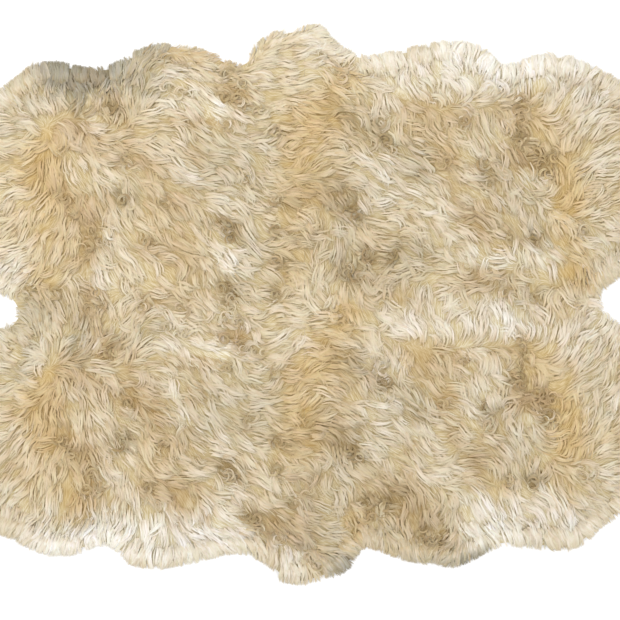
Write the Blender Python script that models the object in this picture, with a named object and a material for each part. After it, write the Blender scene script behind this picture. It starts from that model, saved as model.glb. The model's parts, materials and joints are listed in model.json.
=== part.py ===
"""A sheepskin rug of four pelts, lying flat with the wool up.

The pelts are sewn together along two straight lines that cross in the middle of the rug. Each
pelt is a thin tanned skin under a deep fleece. The fleece is a lumpy slab whose free rim ends in
tapered locks that lie on the floor past the skin's edge.

Metres, +Z up. The origin is on the floor under the middle of the rug, +X runs along the rug.
"""

import math
import random

import bmesh
import bpy
from mathutils import Vector, noise
from mathutils.geometry import interpolate_bezier

RUG_NAME = "sheepskin_rug"

# Skin
HIDE_THICKNESS = 0.002
HIDE_INSET = 0.055        # from the tips of the rim locks in to the skin's free edge
HIDE_POINTS = 44          # straight steps along the free edge of one skin
HIDE_EASING = 3           # times that edge is smoothed, because a skin is cut in easier curves
GAP = 0.0003              # clearance between neighbouring pieces
CUT_PAST = 0.004          # how far a cutter runs on past what it cuts

# Wool
PILE_TOP = 0.044          # usual height of the lying wool over the floor
PILE_LUMP = 0.012         # how far its surface rises and sinks about that height
LUMP_LENGTH = 0.120       # distance over which it does so
RIM_TOP = 0.014           # height of the fleece where the rim locks start
RIM_SLOPE = 0.080         # width over which the fleece rises from its rim to its usual height
SEAM_DIP = 0.005          # how far the wool sinks where two pelts meet
SEAM_DIP_WIDTH = 0.030

# A smooth line's spans
SPAN_STEPS = 12
HANDLE_SHARE = 1 / 6      # handle length over the distance between a point's two neighbours

# Locks round the rim
LOCKS_PER_PELT = 75
FLEECE_EASING = 1         # times the rim under their roots is smoothed
LOCK_REACH = 0.024        # from the body of the fleece out to the tip of the longest lock
LOCK_SHORTER = 0.006      # the shortest lock is this much shorter
LOCK_LEAN = 0.16          # sideways lean of a lock, as a share of its length
LOCK_SECTIONS = (         # share of the lock's length, then its size as a share of the root's
    (0.55, 0.62),
    (1.00, 0.16),
)
SEAM_TURN = 3             # locks at each end of a rim that turn to run along the seam

# Points along a sewn edge, each a share of its length from the rug's middle outward
SEAM_STEPS = (0.16, 0.32, 0.48, 0.62, 0.74, 0.84, 0.92)

# Rings of the fleece's top, each a share of the way out from the pelt's middle
FLEECE_RINGS = (0.95, 0.88, 0.78, 0.66, 0.52, 0.37, 0.20)
FULL_RINGS = 1            # rings that keep every point of the rim; the others have half as many
WALL_CORNERS = 8          # only the slab's underside and its open top have more corners than this

# The long seam crosses the rug from the left notch to the right one
LEFT_NOTCH = Vector((-0.719, -0.0225))
RIGHT_NOTCH = Vector((0.736, 0.0225))

# Middle of each pelt, and the tips of its rim locks from the cross seam round to the long seam
PELT_MIDDLE = {
    "back_left": (-0.300, 0.280),
    "back_right": (0.300, 0.300),
    "front_left": (-0.300, -0.290),
    "front_right": (0.270, -0.290),
}
PELT_RIM = {  # x and y of each point
    "back_left": (
        (0.000, 0.697),
        (-0.060, 0.685),
        (-0.104, 0.668),
        (-0.158, 0.604),
        (-0.211, 0.622),
        (-0.286, 0.647),
        (-0.361, 0.653),
        (-0.424, 0.633),
        (-0.486, 0.600),
        (-0.549, 0.594),
        (-0.624, 0.608),
        (-0.686, 0.598),
        (-0.736, 0.558),
        (-0.800, 0.514),
        (-0.873, 0.431),
        (-0.914, 0.283),
        (-0.873, 0.134),
        (-0.797, 0.051),
        (-0.741, 0.016),
        (-0.719, -0.0225),
    ),
    "back_right": (
        (0.000, 0.697),
        (0.039, 0.700),
        (0.086, 0.652),
        (0.154, 0.624),
        (0.239, 0.637),
        (0.339, 0.658),
        (0.434, 0.652),
        (0.489, 0.604),
        (0.520, 0.604),
        (0.600, 0.628),
        (0.664, 0.622),
        (0.739, 0.590),
        (0.820, 0.540),
        (0.878, 0.462),
        (0.914, 0.319),
        (0.878, 0.176),
        (0.825, 0.098),
        (0.758, 0.050),
        (0.736, 0.0225),
    ),
    "front_left": (
        (0.000, -0.700),
        (-0.056, -0.690),
        (-0.095, -0.648),
        (-0.161, -0.620),
        (-0.236, -0.633),
        (-0.336, -0.655),
        (-0.426, -0.652),
        (-0.486, -0.604),
        (-0.520, -0.603),
        (-0.586, -0.624),
        (-0.661, -0.620),
        (-0.736, -0.584),
        (-0.806, -0.548),
        (-0.873, -0.466),
        (-0.914, -0.315),
        (-0.872, -0.164),
        (-0.800, -0.086),
        (-0.740, -0.050),
        (-0.719, -0.0225),
    ),
    "front_right": (
        (0.000, -0.700),
        (0.050, -0.684),
        (0.104, -0.664),
        (0.144, -0.608),
        (0.189, -0.615),
        (0.252, -0.638),
        (0.339, -0.648),
        (0.366, -0.657),
        (0.414, -0.642),
        (0.476, -0.608),
        (0.539, -0.603),
        (0.626, -0.612),
        (0.696, -0.600),
        (0.739, -0.560),
        (0.816, -0.504),
        (0.875, -0.432),
        (0.914, -0.286),
        (0.875, -0.140),
        (0.822, -0.072),
        (0.758, -0.024),
        (0.736, 0.0225),
    ),
}

# Finishes: colour, roughness and metallic value
FINISH = {
    "wool": ((0.605, 0.500, 0.340, 1.0), 0.92, 0.0),
    "hide": ((0.700, 0.585, 0.430, 1.0), 0.85, 0.0),
}


def clear_scene():
    for old in list(bpy.data.objects):
        bpy.data.objects.remove(old, do_unlink=True)


def make_material(name):
    colour, roughness, metallic = FINISH[name]
    material = bpy.data.materials.new(name)
    material.use_nodes = True
    shader = material.node_tree.nodes["Principled BSDF"]
    shader.inputs["Base Color"].default_value = colour
    shader.inputs["Roughness"].default_value = roughness
    shader.inputs["Metallic"].default_value = metallic
    material.diffuse_color = colour
    return material


def smooth_line(points):
    """A smooth line through the points: Bezier spans with a common direction at each point."""
    ends = [2 * points[0] - points[1]] + points + [2 * points[-1] - points[-2]]
    line = [points[0]]
    for before, start, end, after in zip(ends, ends[1:], ends[2:], ends[3:]):
        handle_out = start + (end - before) * HANDLE_SHARE
        handle_in = end - (after - start) * HANDLE_SHARE
        span = interpolate_bezier(start, handle_out, handle_in, end, SPAN_STEPS + 1)
        line.extend(span[1:])
    return line


def even_points(line, spans):
    """Points at even distances along a line, both ends included."""
    lengths = [(b - a).length for a, b in zip(line, line[1:])]
    pitch = sum(lengths) / spans
    points = [line[0]]
    walked = 0.0
    for start, end, length in zip(line, line[1:], lengths):
        while len(points) < spans and walked + length >= pitch * len(points):
            share = (pitch * len(points) - walked) / length
            points.append(start.lerp(end, share))
        walked += length
    return points + [line[-1]]


def long_seam_y(x):
    """Where the long seam lies at a given place along the rug."""
    share = (x - LEFT_NOTCH.x) / (RIGHT_NOTCH.x - LEFT_NOTCH.x)
    return LEFT_NOTCH.y + share * (RIGHT_NOTCH.y - LEFT_NOTCH.y)


def closest_on(start, end, point):
    """The point of a straight stretch that lies closest to the given one."""
    run = end - start
    share = (point - start).dot(run) / run.length_squared
    return start + run * min(max(share, 0.0), 1.0)


class Pelt:
    """The plan of one pelt: its rim, its sewn edges and the height of its wool."""

    def __init__(self, name, seed):
        self.name = name
        self.random = random.Random(seed)
        self.middle = Vector(PELT_MIDDLE[name])
        self.side_x = math.copysign(1.0, self.middle.x)
        self.side_y = math.copysign(1.0, self.middle.y)
        self.tips = smooth_line([Vector(row) for row in PELT_RIM[name]])
        self.fleece_rim = self.inner_rim(LOCK_REACH, LOCKS_PER_PELT, FLEECE_EASING)
        self.hide_rim = self.inner_rim(HIDE_INSET, HIDE_POINTS, HIDE_EASING)

    def outward(self, start, end):
        """Unit direction out of the pelt, square to a stretch of its rim."""
        along = (end - start).normalized()
        return Vector((-along.y, along.x)) * self.side_x * self.side_y

    def seam_place(self, x, clearance):
        """A point on the pelt's own side of the long seam."""
        return Vector((x, long_seam_y(x) + self.side_y * clearance))

    def moved_rim(self, rim, distance):
        """A line along the free rim moved outward, its ends at the sewn edges."""
        moved = [
            point + self.outward(before, after) * distance
            for before, point, after in zip(rim, rim[1:], rim[2:])
        ]
        first = Vector((self.side_x * GAP / 2, rim[0].y + self.side_y * distance))
        last = self.seam_place(rim[-1].x + self.side_x * distance, GAP / 2)
        return [first] + moved + [last]

    def inner_rim(self, inset, spans, easing):
        """A line inside the tips of the locks, with its bends eased."""
        rim = self.moved_rim(even_points(self.tips, spans), -inset)
        for _ in range(easing):
            eased = [(a + 2 * b + c) / 4 for a, b, c in zip(rim, rim[1:], rim[2:])]
            rim[1:-1] = eased
        return rim

    def outline(self, rim):
        """The closed outline: the rim, the long seam, the rug's middle and the cross seam."""
        centre = self.seam_place(self.side_x * GAP / 2, GAP / 2)
        along_rug = [rim[-1].lerp(centre, 1 - share) for share in reversed(SEAM_STEPS)]
        across_rug = [rim[0].lerp(centre, 1 - share) for share in SEAM_STEPS]
        return rim + along_rug + [centre] + across_rug

    def rim_distance(self, point):
        """How far a point lies from the free rim of the fleece."""
        stretches = zip(self.fleece_rim, self.fleece_rim[1:])
        return min((closest_on(a, b, point) - point).length for a, b in stretches)

    def top(self, point):
        """Height of the wool over a point of the floor."""
        rise = math.sin(min(self.rim_distance(point) / RIM_SLOPE, 1.0) * math.pi / 2) ** 2
        lump = noise.noise(point.to_3d() / LUMP_LENGTH) * PILE_LUMP
        to_seam = min(abs(point.x), abs(point.y - long_seam_y(point.x)))
        dip = SEAM_DIP * math.exp(-((to_seam / SEAM_DIP_WIDTH) ** 2))
        return RIM_TOP + (PILE_TOP - RIM_TOP + lump - dip) * rise


def new_slab(outline, bottom, top):
    """An upright slab on an outline, with its upper face and its walls in the outline's order."""
    shape = bmesh.new()
    foot = [shape.verts.new((p.x, p.y, bottom)) for p in outline]
    base = shape.faces.new(foot)
    cap = extrude_face(shape, base)
    for corner in cap.verts:
        corner.co.z = top
    edges = [shape.edges.get(pair) for pair in zip(foot, foot[1:] + foot[:1])]
    walls = [next(face for face in edge.link_faces if face is not base) for edge in edges]
    return shape, cap, walls


def extrude_face(shape, face):
    """Extrude a face where it lies and return the new one."""
    region = [face, *face.edges, *face.verts]
    made = bmesh.ops.extrude_face_region(shape, geom=region)["geom"]
    return next(part for part in made if isinstance(part, bmesh.types.BMFace))


def highest_cap(shape):
    """The open face that the rings of the fleece's top are drawn from."""
    wide = [face for face in shape.faces if len(face.verts) > WALL_CORNERS]
    return max(wide, key=lambda face: face.calc_center_median().z)


def raise_top(shape, pelt, cap):
    """Carry the wall's upper face inward ring by ring, at the height of the wool."""
    for corner in cap.verts:
        corner.co.z = pelt.top(corner.co.xy)
    reached = 1.0
    for count, share in enumerate(FLEECE_RINGS):
        cap = extrude_face(shape, cap)
        if count == FULL_RINGS:
            edges = [loop.edge for loop in cap.loops]
            paired = edges[: len(edges) // 2 * 2 : 2]
            bmesh.ops.collapse(shape, edges=paired)
            cap = highest_cap(shape)
        for corner in cap.verts:
            flat = pelt.middle.lerp(corner.co.xy, share / reached)
            corner.co = (flat.x, flat.y, pelt.top(flat))
        reached = share
    peak = bmesh.ops.poke(shape, faces=[cap])["verts"][0]
    peak.co = (pelt.middle.x, pelt.middle.y, pelt.top(pelt.middle))


def lock_direction(pelt, index):
    """Which way a rim lock points: out of the pelt, or along the seam at a rim's end."""
    rim = pelt.fleece_rim
    start, end = rim[index], rim[index + 1]
    out = pelt.outward(start, end)
    from_start, from_end = index, len(rim) - 2 - index
    seam_end = rim[0] if from_start < from_end else rim[-1]
    turn = max(1.0 - min(from_start, from_end) / SEAM_TURN, 0.0)
    lean = pelt.random.uniform(-LOCK_LEAN, LOCK_LEAN) * (1.0 - turn)
    out = out.lerp(seam_end.normalized(), turn) + (end - start).normalized() * lean
    return out.normalized().to_3d()


def draw_locks(shape, pelt, walls):
    """Draw each free face of the wall out into a tapered lock that lies on the floor."""
    for index, wall in enumerate(walls):
        root = [corner.co.copy() for corner in wall.verts]
        middle = sum(root, Vector()) / len(root)
        middle.z = 0.0
        reach = LOCK_REACH - pelt.random.uniform(0.0, LOCK_SHORTER)
        drift = lock_direction(pelt, index) * reach
        for share, size in LOCK_SECTIONS:
            wall = bmesh.ops.extrude_discrete_faces(shape, faces=[wall])["faces"][0]
            for corner, origin in zip(wall.verts, root):
                corner.co = middle + (origin - middle) * size + drift * share


def finish_object(name, shape, finish, collection):
    """Turn a finished shape into a named object with its finish."""
    bmesh.ops.recalc_face_normals(shape, faces=shape.faces)
    mesh = bpy.data.meshes.new(name)
    shape.to_mesh(mesh)
    shape.free()
    item = bpy.data.objects.new(name, mesh)
    collection.objects.link(item)
    if finish:
        mesh.materials.append(bpy.data.materials[finish])
    return item


def build_hide(pelt, parts):
    """The tanned skin: a flat sheet cut to the pelt's outline."""
    shape, _, _ = new_slab(pelt.outline(pelt.hide_rim), 0.0, HIDE_THICKNESS)
    finish_object("hide_" + pelt.name, shape, "hide", parts)


def build_recess(pelt, cutters):
    """The room under the fleece that the skin fills, open along the sewn edges."""
    rim = pelt.moved_rim(pelt.hide_rim, GAP)
    across = -pelt.side_x * CUT_PAST
    past_seams = [
        pelt.seam_place(rim[-1].x, -CUT_PAST),
        pelt.seam_place(across, -CUT_PAST),
        Vector((across, rim[0].y)),
    ]
    shape, _, _ = new_slab(rim + past_seams, -CUT_PAST, HIDE_THICKNESS + GAP)
    recess = finish_object("recess_" + pelt.name, shape, None, cutters)
    recess.hide_render = True
    recess.display_type = "WIRE"
    return recess


def build_fleece(pelt, parts, cutters):
    """The wool of one pelt: a lumpy slab round its skin, with locks at the free rim."""
    shape, cap, walls = new_slab(pelt.outline(pelt.fleece_rim), 0.0, RIM_TOP)
    raise_top(shape, pelt, cap)
    draw_locks(shape, pelt, walls[:LOCKS_PER_PELT])
    fleece = finish_object("fleece_" + pelt.name, shape, "wool", parts)
    cut = fleece.modifiers.new("room_for_hide", "BOOLEAN")
    cut.operation = "DIFFERENCE"
    cut.solver = "EXACT"
    cut.object = build_recess(pelt, cutters)


def new_collection(name):
    collection = bpy.data.collections.new(name)
    bpy.context.scene.collection.children.link(collection)
    return collection


def build_rug():
    clear_scene()
    for finish in FINISH:
        make_material(finish)
    parts = new_collection(RUG_NAME)
    cutters = new_collection("cutters")
    for seed, name in enumerate(PELT_RIM):
        pelt = Pelt(name, seed)
        build_hide(pelt, parts)
        build_fleece(pelt, parts, cutters)


build_rug()
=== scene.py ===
"""The looks of a sheepskin rug of four pelts: long combed wool over sewn, tanned skins.

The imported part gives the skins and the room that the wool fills. The plan of the pelts is repeated
here, because the wool follows it. Metres, +Z up, origin on the floor under the rug's middle.
"""

import json
import math
from types import SimpleNamespace

import bmesh
import bpy
import numpy as np
from bpy.props import EnumProperty, FloatProperty, FloatVectorProperty, IntProperty, PointerProperty
from mathutils import Matrix, Vector, noise
from mathutils.geometry import interpolate_bezier

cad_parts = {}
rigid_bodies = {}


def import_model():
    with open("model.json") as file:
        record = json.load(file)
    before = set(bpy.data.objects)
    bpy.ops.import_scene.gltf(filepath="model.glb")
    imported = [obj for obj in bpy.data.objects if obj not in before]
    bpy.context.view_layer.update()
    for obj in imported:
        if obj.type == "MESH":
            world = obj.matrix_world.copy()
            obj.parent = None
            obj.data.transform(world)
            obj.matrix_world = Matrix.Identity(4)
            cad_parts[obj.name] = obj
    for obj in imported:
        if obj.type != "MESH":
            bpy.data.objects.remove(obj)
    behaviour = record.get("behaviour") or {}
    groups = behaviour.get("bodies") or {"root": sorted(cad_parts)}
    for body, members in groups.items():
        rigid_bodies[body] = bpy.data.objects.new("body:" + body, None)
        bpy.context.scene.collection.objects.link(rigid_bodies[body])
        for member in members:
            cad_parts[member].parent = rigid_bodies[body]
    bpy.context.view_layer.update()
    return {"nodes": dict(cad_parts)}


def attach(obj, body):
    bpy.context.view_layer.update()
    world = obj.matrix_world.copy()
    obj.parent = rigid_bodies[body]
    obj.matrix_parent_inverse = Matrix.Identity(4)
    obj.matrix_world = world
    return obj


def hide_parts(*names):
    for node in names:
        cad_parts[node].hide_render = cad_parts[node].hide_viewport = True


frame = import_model()

bl_info = {
    "name": "Sheepskin rug",
    "version": (1, 0, 0),
    "blender": (4, 5, 0),
    "location": "3D View > Sidebar > Rug",
    "description": "Dresses a rug of four sheepskins: tanned skins, seams, wool locks and a studio",
    "category": "Object",
}

BODY = "root"
TINY = 1e-9                     # keeps a division from failing

# Plan of the rug
GAP = 0.0003                    # clearance between neighbouring pieces
SPAN_STEPS = 12                 # straight steps in one span of a smooth line
HANDLE_SHARE = 1 / 6            # handle length over the distance between a point's neighbours
HIDE_THICKNESS = 0.002
HIDE_INSET = 0.055              # from the wool tips in to a skin's free edge
LEFT_NOTCH = Vector((-0.719, -0.0225))
RIGHT_NOTCH = Vector((0.736, 0.0225))

PELT_MIDDLE = {
    "back_left": (-0.300, 0.280),
    "back_right": (0.300, 0.300),
    "front_left": (-0.300, -0.290),
    "front_right": (0.270, -0.290),
}
PELT_RIM = {  # x and y of the wool tips, from the cross seam round to the long seam
    "back_left": (
        (0.000, 0.697), (-0.060, 0.685), (-0.104, 0.668), (-0.158, 0.604), (-0.211, 0.622),
        (-0.286, 0.647), (-0.361, 0.653), (-0.424, 0.633), (-0.486, 0.600), (-0.549, 0.594),
        (-0.624, 0.608), (-0.686, 0.598), (-0.736, 0.558), (-0.800, 0.514), (-0.873, 0.431),
        (-0.914, 0.283), (-0.873, 0.134), (-0.797, 0.051), (-0.741, 0.016), (-0.719, -0.0225),
    ),
    "back_right": (
        (0.000, 0.697), (0.039, 0.700), (0.086, 0.652), (0.154, 0.624), (0.239, 0.637),
        (0.339, 0.658), (0.434, 0.652), (0.489, 0.604), (0.520, 0.604), (0.600, 0.628),
        (0.664, 0.622), (0.739, 0.590), (0.820, 0.540), (0.878, 0.462), (0.914, 0.319),
        (0.878, 0.176), (0.825, 0.098), (0.758, 0.050), (0.736, 0.0225),
    ),
    "front_left": (
        (0.000, -0.700), (-0.056, -0.690), (-0.095, -0.648), (-0.161, -0.620), (-0.236, -0.633),
        (-0.336, -0.655), (-0.426, -0.652), (-0.486, -0.604), (-0.520, -0.603), (-0.586, -0.624),
        (-0.661, -0.620), (-0.736, -0.584), (-0.806, -0.548), (-0.873, -0.466), (-0.914, -0.315),
        (-0.872, -0.164), (-0.800, -0.086), (-0.740, -0.050), (-0.719, -0.0225),
    ),
    "front_right": (
        (0.000, -0.700), (0.050, -0.684), (0.104, -0.664), (0.144, -0.608), (0.189, -0.615),
        (0.252, -0.638), (0.339, -0.648), (0.366, -0.657), (0.414, -0.642), (0.476, -0.608),
        (0.539, -0.603), (0.626, -0.612), (0.696, -0.600), (0.739, -0.560), (0.816, -0.504),
        (0.875, -0.432), (0.914, -0.286), (0.875, -0.140), (0.822, -0.072), (0.758, -0.024),
        (0.736, 0.0225),
    ),
}
PELT_NAMES = tuple(PELT_RIM)

# Height of the lying wool
PILE_TOP = 0.044
PILE_LUMP = 0.012
LUMP_LENGTH = 0.120
RIM_TOP = 0.014                 # height of the wool where the rim locks start
RIM_SLOPE = 0.080               # width over which it rises from there to its usual height
RIM_LOCKS = 0.024               # reach of the rim locks past that place
RIM_FULLNESS = 0.7              # power of the curve by which the rim locks thin to their tips
TIP_HEIGHT = 0.0015             # height of the wool at the very tips
SEAM_DIP = 0.005
SEAM_DIP_WIDTH = 0.030

# The two rows of pelts carry nearly the same pattern, so most of the back row's tables serve both
ROW_SHIFT = -0.600              # how far the front row lies from the back row
ROW_TOP_Y = 0.60                # rows of the tables past this place aren't repeated
FRONT_RIM_Y = -0.47             # the front rim has its own rows past this place

# How the wool is combed: x, y, heading in degrees (0 is +X, 90 is +Y)
COMB_REACH = 0.055
COMB = (
    (-0.71, 0.56, 120), (-0.64, 0.58, 105), (-0.57, 0.58, 95), (-0.54, 0.54, 95),
    (-0.49, 0.53, 85), (-0.41, 0.56, 65), (-0.41, 0.50, 60), (-0.74, 0.51, 145),
    (-0.74, 0.44, 170), (-0.71, 0.38, 195), (-0.82, 0.45, 155), (-0.86, 0.35, 180),
    (-0.86, 0.24, 195), (-0.82, 0.12, 215), (-0.74, 0.31, 180), (-0.74, 0.18, -140),
    (-0.66, 0.17, -115), (-0.64, 0.33, -100), (-0.55, 0.35, -78), (-0.59, 0.45, -20),
    (-0.55, 0.41, -55), (-0.63, 0.50, 100), (-0.39, 0.40, -17), (-0.30, 0.40, -20),
    (-0.33, 0.33, -45), (-0.41, 0.31, -60), (-0.31, 0.57, -48), (-0.31, 0.51, -48),
    (-0.21, 0.54, -50), (-0.21, 0.45, -35), (-0.16, 0.39, -25), (-0.16, 0.26, -25),
    (-0.16, 0.14, -25), (-0.10, 0.33, -20), (-0.10, 0.20, -25), (-0.10, 0.08, -30),
    (-0.34, 0.21, -50), (-0.34, 0.11, -50), (-0.36, 0.01, -45), (-0.46, 0.10, -80),
    (-0.21, 0.12, -58), (-0.51, 0.21, -75), (-0.61, 0.14, -108), (-0.03, 0.40, 38),
    (-0.03, 0.26, 0), (-0.03, 0.09, -5), (-0.10, 0.61, -8), (-0.01, 0.61, -5),
    (0.03, 0.55, -15), (-0.05, 0.53, 0), (-0.69, 0.05, -120), (0.04, 0.65, -25),
    (0.12, 0.62, 105), (0.24, 0.59, 117), (0.31, 0.56, 115), (0.35, 0.59, 105),
    (0.44, 0.59, 85), (0.19, 0.51, -60), (0.09, 0.48, -25), (0.31, 0.44, -60),
    (0.44, 0.44, -52), (0.55, 0.43, -75), (0.49, 0.58, 90), (0.57, 0.58, 85),
    (0.67, 0.49, 65), (0.75, 0.49, 45), (0.66, 0.29, 80), (0.75, 0.28, 25),
    (0.75, 0.14, -35), (0.69, 0.09, -75), (0.56, 0.24, -78), (0.62, 0.12, -60),
    (0.25, 0.31, -50), (0.38, 0.23, -8), (0.32, 0.28, -32), (0.47, 0.21, -60),
    (0.14, 0.36, -25), (0.07, 0.16, -128), (0.07, 0.06, -128), (0.13, 0.16, -45),
    (0.13, 0.06, -45), (0.18, 0.15, -22), (0.18, 0.26, -20), (0.41, 0.10, -20),
    (0.31, 0.06, -20), (0.83, 0.45, 40), (0.87, 0.33, 10), (0.86, 0.20, -15),
    (0.81, 0.10, -45),
)
COMB_FRONT_RIM = (
    (-0.72, -0.55, -125), (-0.62, -0.57, -105), (-0.52, -0.57, -100), (-0.45, -0.59, -95),
    (-0.38, -0.59, -90), (-0.29, -0.58, -72), (-0.23, -0.58, -58), (-0.14, -0.58, -55),
    (-0.05, -0.62, -55), (0.03, -0.65, -55), (-0.01, -0.51, -10), (0.06, -0.55, -20),
    (0.13, -0.57, -25), (0.19, -0.56, -110), (0.28, -0.57, -40), (0.35, -0.56, -128),
    (0.38, -0.63, -90), (0.42, -0.55, -70), (0.49, -0.54, -60), (0.58, -0.54, -58),
    (0.68, -0.54, -58), (0.77, -0.50, -45), (-0.84, -0.49, -140),
)

# Places where the locks curl up together into small rosettes: x, y
CURLS = (
    (-0.60, 0.27), (-0.58, 0.23), (-0.53, 0.18), (-0.54, 0.14), (-0.50, 0.155), (-0.70, 0.025),
    (-0.67, 0.04), (-0.62, 0.03), (-0.53, 0.03), (-0.54, -0.01), (-0.50, 0.00), (-0.34, 0.61),
    (-0.30, 0.59), (-0.34, 0.545), (-0.30, 0.53), (-0.20, 0.58), (-0.18, 0.585), (-0.20, 0.52),
    (-0.17, 0.52), (-0.16, 0.555), (-0.155, 0.495), (-0.19, 0.44), (-0.115, 0.48), (-0.07, 0.43),
    (-0.14, 0.31), (-0.07, 0.26), (-0.20, 0.19), (-0.18, 0.17), (-0.07, 0.19), (-0.065, 0.11),
    (-0.20, 0.04), (-0.18, 0.015), (-0.065, 0.025), (-0.35, 0.25), (-0.39, 0.15), (-0.39, 0.00),
    (-0.44, 0.355), (-0.45, 0.26), (-0.48, 0.49), (0.045, 0.625), (0.08, 0.59), (0.10, 0.56),
    (0.19, 0.45), (0.20, 0.41), (0.21, 0.39), (0.40, 0.46), (0.54, 0.51), (0.54, 0.485),
    (0.545, 0.46), (0.535, 0.42), (0.53, 0.40), (0.58, 0.38), (0.59, 0.36), (0.615, 0.37),
    (0.605, 0.325), (0.51, 0.17), (0.57, 0.16), (0.35, 0.355), (0.45, 0.35), (0.46, 0.30),
    (0.11, 0.24), (0.13, 0.22), (0.155, 0.12), (0.215, 0.125), (0.11, 0.09), (0.13, 0.07),
    (0.50, 0.04), (0.565, 0.025), (0.695, 0.18),
)
CURLS_FRONT_RIM = (
    (-0.14, -0.525), (-0.12, -0.53), (-0.105, -0.56), (-0.065, -0.58), (0.005, -0.62),
    (0.035, -0.65), (0.15, -0.49), (0.20, -0.50), (0.165, -0.525), (0.29, -0.57), (0.315, -0.59),
    (0.34, -0.585), (-0.035, -0.49), (0.01, -0.475),
)

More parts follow.
